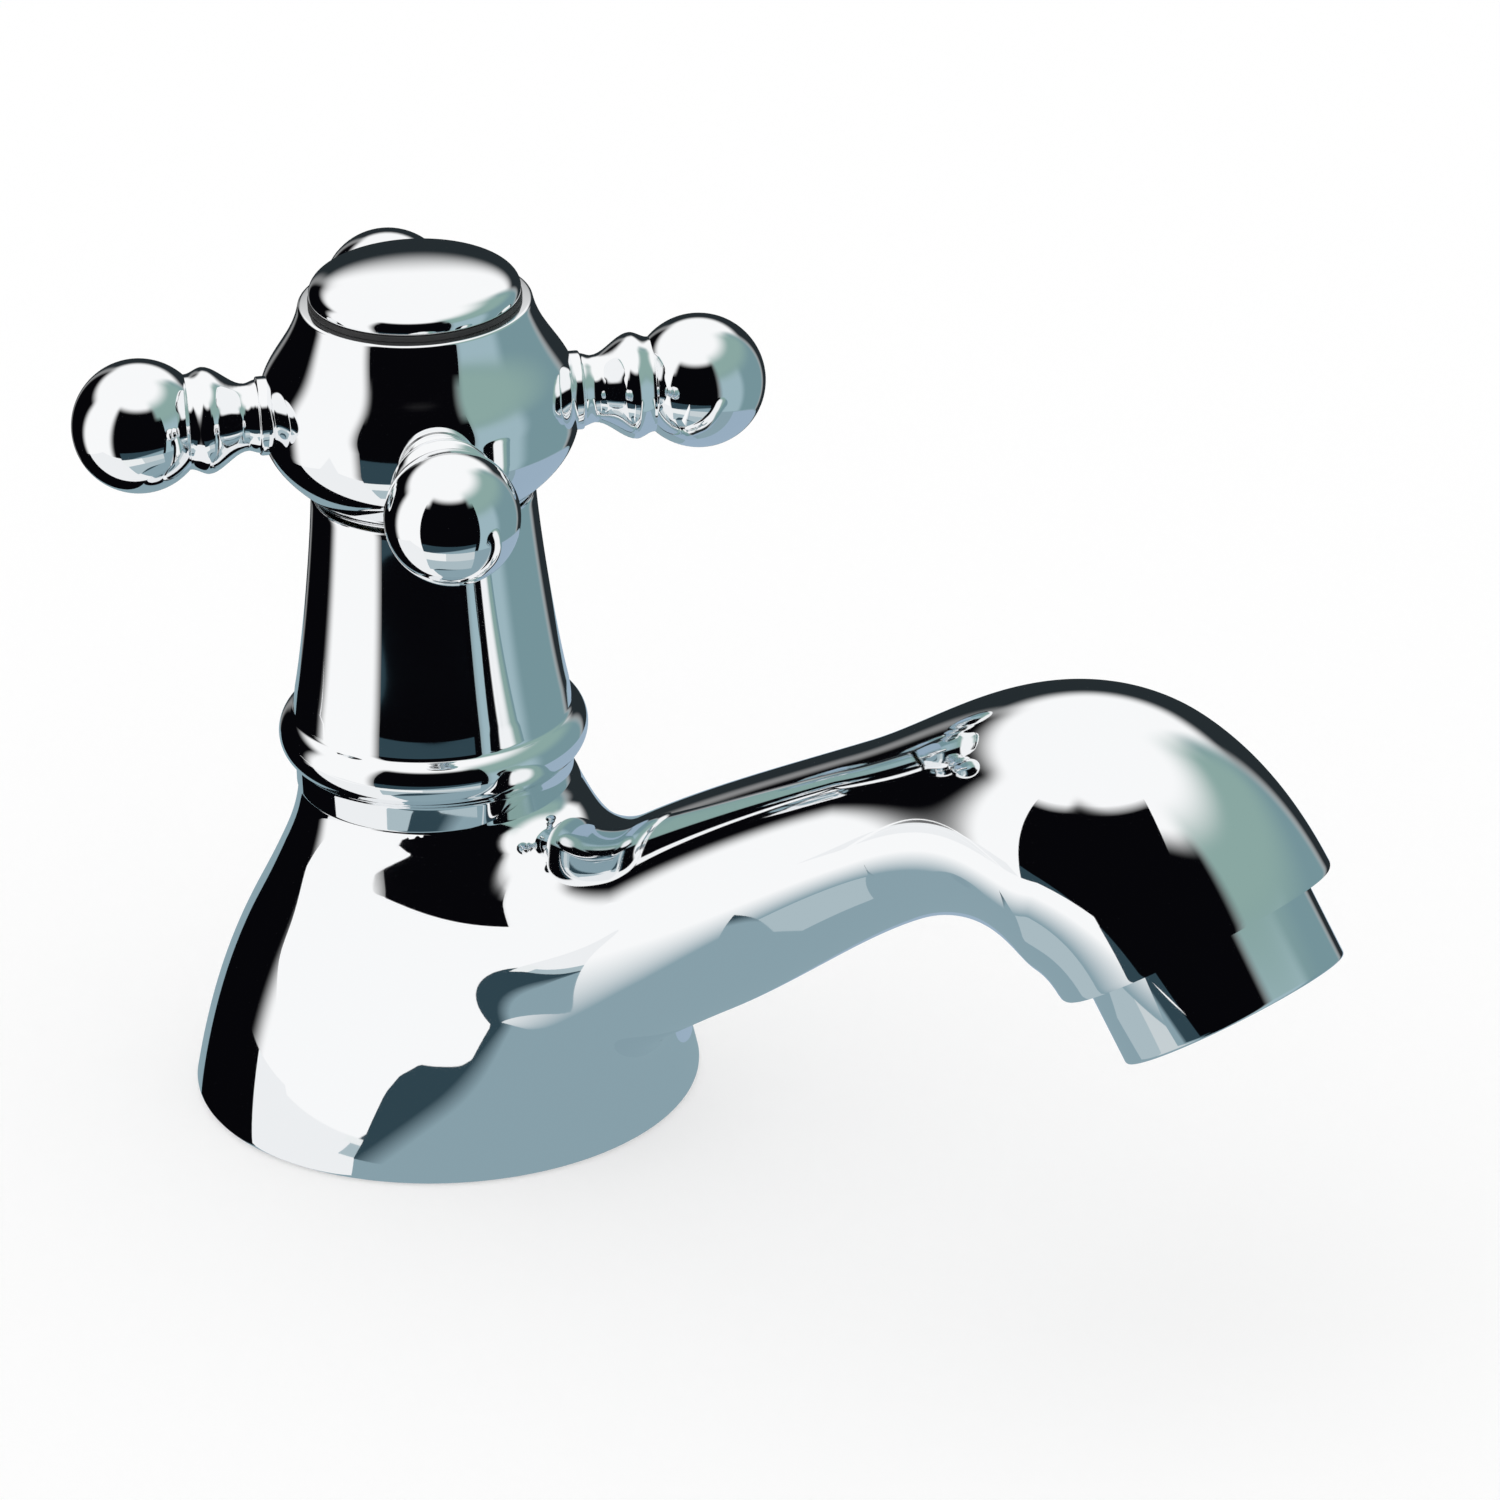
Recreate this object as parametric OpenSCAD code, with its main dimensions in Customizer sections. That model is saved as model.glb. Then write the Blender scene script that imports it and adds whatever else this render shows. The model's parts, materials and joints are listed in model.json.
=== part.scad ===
// Basin pillar tap with a cross handle: bell foot, swan spout, tapered shroud,
// compression valve with a non-rising spindle, and the fixings below the deck.
// Origin: on the tap's vertical axis, in the plane of the foot's underside.
// +Z is up, and the spout points along +X.

/* [Foot and neck] */
// Radius of the foot where it stands on the deck
foot_r = 26; // [25:0.5:29]
// Radius of the neck under the shroud
neck_r = 14; // [14:0.25:16]
// Height of the neck's top face above the deck
neck_z = 34; // [33:0.5:38]
// Inner radius of the flat rim that stands on the deck
rim_inner_r = 21.5; // [20:0.5:23]
// Depth of the ring-shaped recess in the underside
recess_depth = 4; // [2:0.5:5]
// Rounding of the foot's lower edge
foot_round = 0.8; // [0.4:0.1:1.2]

/* [Spout] */
// Distance from the tap's axis to the middle of the spout's mouth
spout_reach = 95.2; // [85:1:110]
// Height of the middle of the spout's mouth above the deck
mouth_z = 41.9; // [36:0.5:50]
// Angle between the water's direction and straight down
mouth_tilt = 32.6; // [20:1:40]
// Height of the spout's centre line where it leaves the axis
root_z = 15; // [14:0.2:16.4]
// Angle by which the spout's centre line dips as it leaves the axis
root_dip = 14.2; // [8:0.2:16]
// Pull of the centre line's curve at the root
root_pull = 24.2; // [20:0.2:30]
// Pull of the centre line's curve at the mouth
mouth_pull = 37; // [28:0.5:42]
// Radius of the spout where it leaves the bell
root_r = 10.8; // [10:0.1:12]
// Growth of that radius towards the axis, which blends the spout's sides into the bell
root_flare = 2.8; // [0:0.2:3]
// Radius of the spout's slim middle
waist_r = 9.2; // [8:0.1:11]
// Largest radius of the spout's nose
nose_r = 14.9; // [14.5:0.1:17]
// Radius of the spout's mouth
mouth_r = 14.7; // [14:0.1:15.5]
// Chamfer of the mouth's outer edge
mouth_chamfer = 0.5; // [0.2:0.1:1]

/* [Waterways and seat] */
// Radius of the waterway through the spout
waterway_r = 4.6; // [3.6:0.1:5]
// Radius of the bore through the inlet tail
inlet_r = 6; // [5:0.25:7]
// Radius of the hole in the valve seat
seat_hole_r = 5; // [4.6:0.1:5.5]
// Wall of the seat's standing column
seat_wall = 2.2; // [1.6:0.1:2.3]
// Height of the seat above the chamber's floor
seat_h = 2.5; // [2:0.25:4]
// Radius of the valve chamber
chamber_r = 9.4; // [9:0.1:9.8]
// Thickness of the casting between the inlet tail and the chamber
floor_t = 2.5; // [2:0.25:4]

/* [Inlet tail and fixings] */
// Outer diameter of the tail's half-inch pipe thread
tail_d = 20.955; // [20:0.005:22]
// Length of the tail below the deck face
tail_len = 50; // [46:1:60]
// Length of the tail screwed into the foot
tail_screwed = 6.5; // [5:0.5:8]
// Chamfer at the tail's lower end
tail_chamfer = 1; // [0.5:0.1:1.5]
// Distance from the backnut down to the groove between the nut's and the connector's threads
tail_groove_gap = 1.5; // [0.5:0.5:4]
// Width of that groove
tail_groove_w = 1.2; // [0.8:0.1:2]
// Depth of that groove
tail_groove_d = 0.9; // [0.5:0.1:1.2]
// Space left for the basin's deck
deck_gap = 16; // [8:1:18]
// Thickness of the rubber washer under the deck
rubber_t = 3; // [2:0.5:4]
// Outer radius of the rubber washer
rubber_r = 24; // [20:0.5:27]
// Thickness of the metal clamp washer
clamp_t = 1.5; // [1:0.25:2.5]
// Outer radius of the metal clamp washer
clamp_r = 22.5; // [19:0.5:25]
// Thickness of the backnut
backnut_t = 7; // [5:0.5:8]
// Size of the backnut across its flats
backnut_flats = 31; // [28:0.5:36]

/* [Bonnet] */
// Outer diameter of the bonnet's thread in the neck
bonnet_thread_d = 20.9; // [20.4:0.1:21]
// Lowest point of the neck's thread above the deck
bonnet_thread_z = 24; // [22:0.5:26]
// Outer radius of the neck's spigot inside the shroud
spigot_r = 12.3; // [12.2:0.1:12.5]
// Height of the spigot above the neck's top face
spigot_h = 2.6; // [2:0.1:3.4]
// Thickness of the bonnet seal
bonnet_seal_t = 0.8; // [0.5:0.1:1.2]
// Size of the bonnet's hexagon across its flats
bonnet_flats = 21.5; // [20:0.5:22]
// Height of the bonnet's hexagon
bonnet_hex_h = 6; // [4:0.5:8]
// Radius of the bonnet's threaded barrel
barrel_r = 8.6; // [8:0.1:9]
// Distance from the barrel's top down from the shroud's top
barrel_drop = 5.5; // [5:0.25:6.5]
// Radius of the bonnet's skirt in the chamber
skirt_r = 9.1; // [8.6:0.1:9.1]

/* [Spindle and jumper] */
// Turns of the handle from closed to open
turns = 2.5; // [1.5:0.25:2.5]
// Rise of the jumper in one turn
lead = 2; // [1:0.25:2]
// Radius of the spindle in the bonnet
spindle_r = 4.5; // [4.3:0.1:5]
// Radius of the spindle's collar below the bonnet's shoulder
collar_r = 6; // [5.6:0.1:6.2]
// Thickness of the spindle's collar
collar_t = 1.4; // [1:0.1:2]
// Thickness of the thrust washer on the collar
thrust_t = 0.6; // [0.4:0.1:1]
// Radius of the spindle's driving thread
screw_r = 4; // [3.6:0.1:4.2]
// Number of teeth on the spindle's spline
spline_teeth = 20; // [16:2:24]
// Outer radius of the spline
spline_r = 3.95; // [3.8:0.05:4.2]
// Depth of the spline's teeth
spline_tooth = 0.45; // [0.3:0.05:0.6]
// Height of the jumper's hexagon
jumper_hex_h = 11.4; // [10:0.2:13]
// Size of the jumper's hexagon across its flats
jumper_flats = 12.8; // [12:0.1:13]
// Radius of the jumper's cup
cup_r = 7.4; // [7:0.1:7.8]
// Thickness of the cup's plate
cup_t = 1; // [0.8:0.1:1.5]
// Radius of the jumper washer
washer_r = 6.5; // [6.2:0.1:6.8]
// Thickness of the jumper washer
washer_t = 3; // [2:0.25:3.5]
// Radius of the jumper's stud
stud_r = 2; // [1.6:0.1:2.2]
// Size of the jumper nut across its flats
jumper_nut_flats = 7; // [6:0.25:7.5]
// Thickness of the jumper nut
jumper_nut_t = 2.2; // [1.6:0.1:2.4]
// Thickness of an O-ring's section
o_ring_d = 1.2; // [1:0.1:1.3]

/* [Shroud] */
// Height of the shroud's top above the deck
shroud_top_z = 66; // [64:0.5:70]
// Radius of the shroud's top
shroud_top_r = 11.4; // [11.2:0.1:12.5]
// Radius of the shroud's foot, where it meets the neck
shroud_foot_r = 14.2; // [14.2:0.1:15]
// Radius of the shroud just above its bead
shroud_cone_r = 14; // [14:0.1:15]
// Largest radius of the bead
bead_r = 15.8; // [15:0.1:17]
// Radius of the bead's round section
bead_section = 2.9; // [2:0.1:3.2]
// Height of the bead's middle above the neck
bead_rise = 5.6; // [5:0.1:6.5]
// Wall of the shroud
shroud_wall = 1.2; // [1:0.05:1.3]
// Height of the threaded web that holds the shroud on the barrel
web_h = 4; // [3:0.25:5]

/* [Handle] */
// Gap between the shroud and the turning handle
handle_gap = 0.6; // [0.4:0.1:1]
// Radius of the hub's lower edge
hub_foot_r = 11.5; // [11.2:0.1:12.5]
// Radius of the hub's barrel
hub_r = 16.1; // [15.5:0.1:17]
// Radius of the hub's top lip
hub_lip_r = 11.8; // [11.4:0.1:12.5]
// Height of the hub
hub_h = 20.2; // [19:0.2:24]
// Height of the arms above the hub's lower edge
arm_rise = 8.9; // [8.5:0.1:10]
// Number of arms
arm_count = 4; // [3:1:4]
// Angle of the first arm from the spout
arm_angle = 45; // [0:15:90]
// Distance from the axis to the middle of a ball
ball_reach = 28.4; // [27:0.2:36]
// Radius of the balls
ball_r = 6.8; // [6:0.1:8]
// Distance from the bead on an arm to the middle of its ball
arm_bead_back = 6.7; // [6.4:0.1:7.5]
// Radius of the bead on an arm
arm_bead_r = 5.4; // [5:0.1:6]
// Radius of the arm between its bead and its ball
arm_waist_r = 4.8; // [4.2:0.1:5]
// Radius of the arm's slim neck
arm_neck_r = 3.4; // [3:0.1:4]
// Radius of the round foot that seats on the hub
arm_foot_r = 4; // [3.8:0.1:5]
// Radius of the arm's threaded stub in the hub
stub_r = 2.5; // [2:0.1:3]
// Length of that stub
stub_len = 4.5; // [3:0.25:5]
// Outer radius of the splined insert
insert_r = 7; // [6:0.1:7.6]

/* [Cap] */
// Radius of the domed cap
cap_r = 10.7; // [10.2:0.1:11]
// Height of the dome
dome_h = 3.4; // [2.5:0.1:6]
// Thickness of the black ring under the cap
cap_ring_t = 0.6; // [0.4:0.1:1]
// Outer radius of the cap's threaded skirt
cap_skirt_r = 8.9; // [8.4:0.1:9.2]
// Wall of the cap's skirt
cap_skirt_wall = 1.5; // [1:0.1:2]

/* [Nozzle] */
// Outer radius of the nozzle shell, an M24 x 1 thread on its inner end
nozzle_r = 11.9; // [11.6:0.1:12.2]
// Length of the nozzle shell that shows below the mouth
nozzle_len = 8; // [5:0.2:10]
// Length of the shell's thread inside the mouth
nozzle_screwed = 7; // [5:0.25:8]
// Wall of the nozzle shell
nozzle_wall = 1.3; // [1:0.1:1.6]
// Thickness of the lip that holds the screen
nozzle_lip_t = 1.4; // [1:0.1:2]
// Inner radius of that lip
nozzle_lip_r = 9.4; // [8.6:0.1:9.8]
// Thickness of the rubber washer behind the aerator
nozzle_washer_t = 1.4; // [1:0.1:2]
// How far that washer reaches in under the aerator
nozzle_washer_w = 2.5; // [1.5:0.5:3]
// Thickness of the wire screen
screen_t = 0.5; // [0.3:0.1:1]
// Number of jets in the aerator's outer ring
jets = 16; // [10:1:18]
// Radius of a jet
jet_r = 0.9; // [0.6:0.1:1]

/* [Hidden] */
$fn = 96;

// Clearances: a press fit, a turning or sliding fit, a thread, a loose fit, and a small gap
press_gap = 0.05;
run_gap = 0.06;
thread_gap = 0.1;
loose_gap = 0.3;
touch_gap = 0.1;
// A cut runs this far past the face that it opens
past = 0.5;
// Eased edges of the chrome shells, and the chamfer of machined ends
edge = 0.3;
chamfer = 0.5;
spout_rings = 40;
spout_sides = 40;
waterway_rings = 22;
waterway_sides = 20;
outline_steps = 14;

chrome = [0.80, 0.82, 0.84];
brass = [0.78, 0.62, 0.30];
rubber = [0.09, 0.09, 0.09];
nylon = [0.90, 0.90, 0.87];
steel = [0.62, 0.63, 0.65];

// Heights of the tail, the seat and the chamber
tail_r = tail_d / 2;
floor_z = tail_screwed + floor_t;
seat_z = floor_z + seat_h;
seat_outer_r = seat_hole_r + seat_wall;
boss_r = tail_r + 4;

// Heights of the jumper, which rests just clear of the seat
jumper_floor = 1.2;
cup_lip = 1;
lift = turns * lead;
washer_z = seat_z + touch_gap;
cup_z = washer_z + washer_t;
guide_z = cup_z + cup_t;
jumper_top_z = guide_z + jumper_hex_h;
well_z = guide_z + jumper_floor;
screw_end_z = well_z + lift + loose_gap;

// Heights of the bonnet and of the spindle's collar in it
skirt_z = guide_z + lift + loose_gap;
collar_z = jumper_top_z + lift + loose_gap;
thrust_z = collar_z + collar_t + touch_gap;
shoulder_z = thrust_z + thrust_t + touch_gap;
spigot_z = neck_z + spigot_h;
hex_z = spigot_z + bonnet_seal_t;
hex_top_z = hex_z + bonnet_hex_h;
barrel_z = shroud_top_z - barrel_drop;
guide_flats = jumper_flats + 2 * touch_gap;
bonnet_thread_r = bonnet_thread_d / 2;
shroud_ring_z = neck_z + spigot_h / 2;
o_ring_groove = o_ring_d + touch_gap;
// The circlip that keeps the spindle down, and its groove
circlip_z = barrel_z + 2 * touch_gap;
circlip_t = 0.8;
circlip_w = 2.2;
circlip_depth = 0.6;
circlip_opening = 4;
circlip_r = spindle_r - circlip_depth + circlip_w;

// Heights and depths of the handle
hub_z = shroud_top_z + handle_gap;
arm_z = hub_z + arm_rise;
hub_top_z = hub_z + hub_h;
hub_relief = 2.4;
hub_relief_r = 9;
hub_relief_z = hub_z + hub_relief;
cap_well = 5;
hub_web_t = 1.6;
hub_web_z = hub_top_z - cap_well - hub_web_t;
cap_z = hub_top_z + cap_ring_t;
spline_lead = 3;
spline_z = hub_relief_z - spline_lead;
spindle_top_z = hub_web_z - 2 * loose_gap;
arm_socket = 0.9;
arm_seat = hub_r - arm_socket;
arm_foot_t = 1.2;
arm_neck_x = arm_seat + 2 * arm_foot_t;
arm_bead_x = ball_reach - arm_bead_back;
arm_waist_x = arm_bead_x + 2.5;
arm_steps = 24;
handle_screw_r = 2;
handle_screw_head_r = 3.8;
handle_screw_head_t = 2.4;
handle_screw_len = 12;
handle_screw_slot = 0.9;

// Depths inside the mouth, measured along the water's way from the mouth's face
mouth_bore_r = nozzle_r + thread_gap;
mouth_step = 0.2;
mouth_depth = nozzle_screwed + nozzle_washer_t + touch_gap;
nozzle_bore_r = nozzle_r - nozzle_wall;
screen_s = nozzle_len - nozzle_lip_t - screen_t;

// Points and slopes on a curve with four handles, and a smooth step from 0 to 1
function bezier(p, t) = pow(1 - t, 3) * p[0] + 3 * pow(1 - t, 2) * t * p[1]
    + 3 * (1 - t) * t * t * p[2] + pow(t, 3) * p[3];
function bezier_slope(p, t) = pow(1 - t, 2) * (p[1] - p[0]) + 2 * (1 - t) * t * (p[2] - p[1])
    + t * t * (p[3] - p[2]);
function curve(p, n = outline_steps) = [for (i = [0:n]) bezier(p, i / n)];
function ease(s) = s * s * (3 - 2 * s);
function smooth(x) = ease(min(1, max(0, x)));
// Size at t along [place, size] stations, smooth from each to the next
function along(st, t, i = 0) = i == len(st) - 2 || t < st[i + 1][0]
    ? st[i][1] + (st[i + 1][1] - st[i][1]) * smooth((t - st[i][0]) / (st[i + 1][0] - st[i][0]))
    : along(st, t, i + 1);

// The spout's centre line in the XZ plane, and its radius along the line
spout_line = [[0, root_z],
    [root_pull * cos(root_dip), root_z - root_pull * sin(root_dip)],
    [spout_reach - mouth_pull * sin(mouth_tilt), mouth_z + mouth_pull * cos(mouth_tilt)],
    [spout_reach, mouth_z]];
spout_sizes = [[0, root_r + root_flare], [0.35, root_r], [0.592, waist_r], [0.87, nose_r],
    [1, mouth_r]];
// The spout starts inside the bell, and none of it reaches lower than this
spout_from = 0.08;
lowest_z = 1;
// The waterway starts inside the chamber, clear of the seat, and ends in the mouth's bore
waterway_bend = 0.92;
waterway_from = waterway_bend * (seat_outer_r + chamber_r) / 2 / (3 * root_pull);
waterway_to = 0.94;
waterway_sizes = [[0, waterway_r], [1, waterway_r]];

// A tube of round sections square to a line in the XZ plane, from t0 to t1 along it
module swept_tube(line, sizes, t0, t1, rings, sides) {
    points = [for (i = [0:rings]) let (t = t0 + (t1 - t0) * i / rings, c = bezier(line, t),
        d = bezier_slope(line, t), u = d / norm(d), r = along(sizes, t))
        for (k = [0:sides - 1]) let (a = 360 * k / sides)
            [c[0] - u[1] * r * cos(a), r * sin(a), max(lowest_z, c[1] + u[0] * r * cos(a))]];
    skin = [for (i = [0:rings - 1], k = [0:sides - 1]) let (n = (k + 1) % sides)
        [i * sides + k, i * sides + n, (i + 1) * sides + n, (i + 1) * sides + k]];
    ends = [[for (k = [sides - 1:-1:0]) k], [for (k = [0:sides - 1]) rings * sides + k]];
    polyhedron(points, concat(skin, ends), convexity = 6);
}

// Places children on the mouth: their +Z is the water's way, 0 is the mouth's face
module at_mouth() {
    translate([spout_reach, 0, mouth_z]) rotate([0, 180 - mouth_tilt, 0]) children();
}

module ring(outer, inner, z, h) {
    translate([0, 0, z]) difference() {
        cylinder(r = outer, h = h);
        translate([0, 0, -past]) cylinder(r = inner, h = h + 2 * past);
    }
}

module rod(r, z0, z1) {
    translate([0, 0, z0]) cylinder(r = r, h = z1 - z0);
}

// A rod whose ends are chamfered
module eased_rod(r, z0, z1, c) {
    rotate_extrude() polygon([[0, z0], [r - c, z0], [r, z0 + c], [r, z1 - c], [r - c, z1], [0, z1]]);
}

module hexagon(flats, z0, z1) {
    translate([0, 0, z0]) cylinder(d = flats / cos(30), h = z1 - z0, $fn = 6);
}

// A hexagon with its corners turned off at both ends, as on a nut
module nut_blank(flats, z0, z1) {
    corner = flats / 2 / cos(30);
    intersection() {
        hexagon(flats, z0, z1);
        eased_rod(corner, z0, z1, corner - flats / 2 - touch_gap);
    }
}

// An O-ring round the axis, with the middle of its section at radius r and height z
module o_ring(r, z, d = o_ring_d) {
    translate([0, 0, z]) rotate_extrude() translate([r, 0]) circle(d = d, $fn = 32);
}

// Handles of the bell's curve, as shares of its depth and height, and its flare at the neck
bell_in = 0.34;
bell_low = 0.64;
bell_high = 0.725;
bell_flare = 0.5;
bell_steps = 20;

module body_casting() {
    bell = [[foot_r, foot_round], [foot_r - (foot_r - neck_r) * bell_in, neck_z * bell_low],
        [neck_r + bell_flare, neck_z * bell_high], [neck_r, neck_z]];
    color(chrome) difference() {
        union() {
            rotate_extrude() polygon(concat([[0, 0], [foot_r - foot_round, 0]], curve(bell, bell_steps),
                [[spigot_r, neck_z], [spigot_r, spigot_z], [0, spigot_z]]));
            swept_tube(spout_line, spout_sizes, spout_from, 1, spout_rings, spout_sides);
        }
        ring(rim_inner_r, boss_r, -past, recess_depth + past);
        rod(tail_r + thread_gap, -past, tail_screwed);
        rod(seat_hole_r, tail_screwed - past, seat_z + past);
        ring(chamber_r, seat_outer_r, floor_z, seat_h + past);
        rod(chamber_r, seat_z, spigot_z);
        rod(bonnet_thread_r + thread_gap, bonnet_thread_z, spigot_z + past);
        ring(spigot_r + past, spigot_r - o_ring_d / 2 - touch_gap, shroud_ring_z - o_ring_groove / 2,
            o_ring_groove);
        swept_tube(spout_line, waterway_sizes, waterway_from, waterway_to, waterway_rings,
            waterway_sides);
        at_mouth() rod(mouth_bore_r, -mouth_depth, past);
        at_mouth() ring(mouth_r + 2 * past, mouth_r - mouth_chamfer, -mouth_step, 2 * past);
    }
}

module inlet_tail() {
    groove_z = backnut_z - tail_groove_gap - tail_groove_w;
    color(brass) difference() {
        eased_rod(tail_r, -tail_len, tail_screwed, tail_chamfer);
        ring(tail_r + past, tail_r - tail_groove_d, groove_z, tail_groove_w);
        rod(inlet_r, -tail_len - past, tail_screwed + past);
    }
}

module foot_gasket() {
    color(rubber) ring(rim_inner_r - loose_gap, boss_r + loose_gap, 0, recess_depth);
}

// The stack under the deck, from the top down
rubber_z = -deck_gap - rubber_t;
clamp_z = rubber_z - clamp_t;
backnut_z = clamp_z - backnut_t;

module under_deck_washer() {
    color(rubber) ring(rubber_r, tail_r + loose_gap, rubber_z, rubber_t);
}

module clamp_washer() {
    color(steel) ring(clamp_r, tail_r + loose_gap, clamp_z, clamp_t);
}

module backnut() {
    color(brass) difference() {
        nut_blank(backnut_flats, backnut_z, clamp_z);
        rod(tail_r + thread_gap, backnut_z - past, clamp_z + past);
    }
}

module valve_bonnet() {
    color(brass) difference() {
        union() {
            rod(skirt_r, skirt_z, spigot_z);
            rod(bonnet_thread_r, bonnet_thread_z + loose_gap, hex_z);
            nut_blank(bonnet_flats, hex_z, hex_top_z);
            eased_rod(barrel_r, hex_top_z - 2 * chamfer, barrel_z, chamfer);
        }
        hexagon(guide_flats, skirt_z - past, shoulder_z);
        rod(spindle_r + run_gap, shoulder_z - past, barrel_z + past);
    }
}

module bonnet_seal() {
    color(rubber) ring(spigot_r, bonnet_thread_r + touch_gap, spigot_z, bonnet_seal_t);
}

module shroud_o_ring() {
    color(rubber) o_ring(spigot_r, shroud_ring_z);
}

// The shroud's cone starts above the bead; its curve's handles stand in and up, and down
cone_lift = 1.7;
cone_in = 1;
cone_rise = 5;
cone_drop = 6;

module shroud() {
    bead_z = neck_z + bead_rise;
    cone_z = bead_z + bead_section + cone_lift;
    cone = [[shroud_cone_r, cone_z], [shroud_cone_r - cone_in, cone_z + cone_rise],
        [shroud_top_r + edge, shroud_top_z - cone_drop], [shroud_top_r, shroud_top_z - edge]];
    cone_wall = curve([for (p = cone) [p[0] - shroud_wall, p[1]]], outline_steps / 2);
    foot_bore = shroud_foot_r - shroud_wall;
    web_z = barrel_z - chamfer - web_h;
    color(chrome) difference() {
        union() {
            rotate_extrude() polygon(concat([[0, neck_z], [shroud_foot_r, neck_z],
                [shroud_foot_r, bead_z], [shroud_cone_r, cone_z]], curve(cone),
                [[shroud_top_r - edge, shroud_top_z], [0, shroud_top_z]]));
            translate([0, 0, bead_z]) rotate_extrude() translate([bead_r - bead_section, 0])
                circle(r = bead_section, $fn = 48);
        }
        difference() {
            rotate_extrude() polygon(concat([[0, neck_z - past], [foot_bore, neck_z - past],
                [foot_bore, bead_z + bead_section]], cone_wall,
                [[shroud_top_r - shroud_wall, shroud_top_z + past], [0, shroud_top_z + past]]));
            rod(shroud_foot_r, web_z, web_z + web_h);
        }
        rod(barrel_r + thread_gap, web_z - past, web_z + web_h + past);
    }
}

module thrust_washer() {
    color(nylon) ring(collar_r, spindle_r + touch_gap, thrust_z, thrust_t);
}

module nozzle_washer() {
    color(rubber) at_mouth() ring(nozzle_r - touch_gap, nozzle_bore_r - nozzle_washer_w,
        -mouth_depth, nozzle_washer_t);
}

module nozzle_shell() {
    color(chrome) at_mouth() difference() {
        eased_rod(nozzle_r, -nozzle_screwed, nozzle_len, chamfer);
        rod(nozzle_bore_r, -nozzle_screwed - past, nozzle_len - nozzle_lip_t);
        rod(nozzle_lip_r, 0, nozzle_len + past);
    }
}

// The aerator's cup, and its two rings of jets as shares of its radius
aerator_wall = 1.2;
jet_rings = [0.72, 0.4];

module aerator_cartridge() {
    r = nozzle_bore_r - touch_gap;
    color(nylon) at_mouth() difference() {
        rod(r, -nozzle_screwed, screen_s);
        rod(r - aerator_wall, 0, screen_s + past);
        for (k = [0, 1], i = [0:jets / (k + 1) - 1]) rotate(360 * (k + 1) * i / jets)
            translate([r * jet_rings[k], 0, 0]) rod(jet_r, -nozzle_screwed - past, past);
    }
}

module aerator_screen() {
    color(steel) at_mouth() rod(nozzle_bore_r - touch_gap, screen_s, screen_s + screen_t);
}

// A spline's outline: teeth with slanted sides, their half widths as shares of the step
tooth_root = 0.32;
tooth_tip = 0.15;

module spline_outline(r, tooth) {
    step = 360 / spline_teeth;
    tooth_points = [[-tooth_root, tooth], [-tooth_tip, 0], [tooth_tip, 0], [tooth_root, tooth]];
    polygon([for (i = [0:spline_teeth - 1], c = tooth_points)
        let (a = (i + c[0]) * step, q = r - c[1]) [q * cos(a), q * sin(a)]]);
}

// The two O-rings that keep the water in, one above the other
o_ring_pitch = 4;
spindle_o_ring_z = [hex_top_z + o_ring_pitch / 2, hex_top_z + o_ring_pitch * 3 / 2];
o_ring_seat_r = spindle_r - o_ring_d;

module spindle() {
    color(brass) difference() {
        union() {
            rod(screw_r, screw_end_z, collar_z + past);
            rod(collar_r, collar_z, collar_z + collar_t);
            rod(spindle_r, collar_z, spline_z);
            translate([0, 0, spline_z - past]) linear_extrude(spindle_top_z - spline_z + past)
                spline_outline(spline_r, spline_tooth);
        }
        for (z = spindle_o_ring_z)
            ring(spindle_r + past, o_ring_seat_r, z - o_ring_groove / 2, o_ring_groove);
        ring(spindle_r + past, spindle_r - circlip_depth - press_gap, circlip_z - press_gap,
            circlip_t + 2 * press_gap);
        rod(handle_screw_r + press_gap, hub_relief_z, spindle_top_z + past);
    }
}

module spindle_o_rings() {
    color(rubber) for (z = spindle_o_ring_z) o_ring(spindle_r - o_ring_d / 2, z);
}

module spindle_circlip() {
    color(steel) difference() {
        ring(circlip_r, spindle_r - circlip_depth, circlip_z, circlip_t);
        translate([0, -circlip_opening / 2, circlip_z - past])
            cube([circlip_r + past, circlip_opening, circlip_t + 2 * past]);
    }
}

module hub_insert() {
    color(nylon) difference() {
        rod(insert_r, hub_relief_z, hub_web_z);
        translate([0, 0, hub_relief_z - past]) linear_extrude(hub_web_z - hub_relief_z + 2 * past)
            spline_outline(spline_r + press_gap, spline_tooth);
    }
}

module at_arm(i) {
    translate([0, 0, arm_z]) rotate([0, 90, arm_angle + 360 * i / arm_count]) children();
}

// The hub's outline: its lower flare, the flat at the arms, its curves' pull and its tuck
hub_flare = 2.1;
hub_flat = 1.25;
hub_pull = 4.7;
hub_tuck = 0.8;

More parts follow.
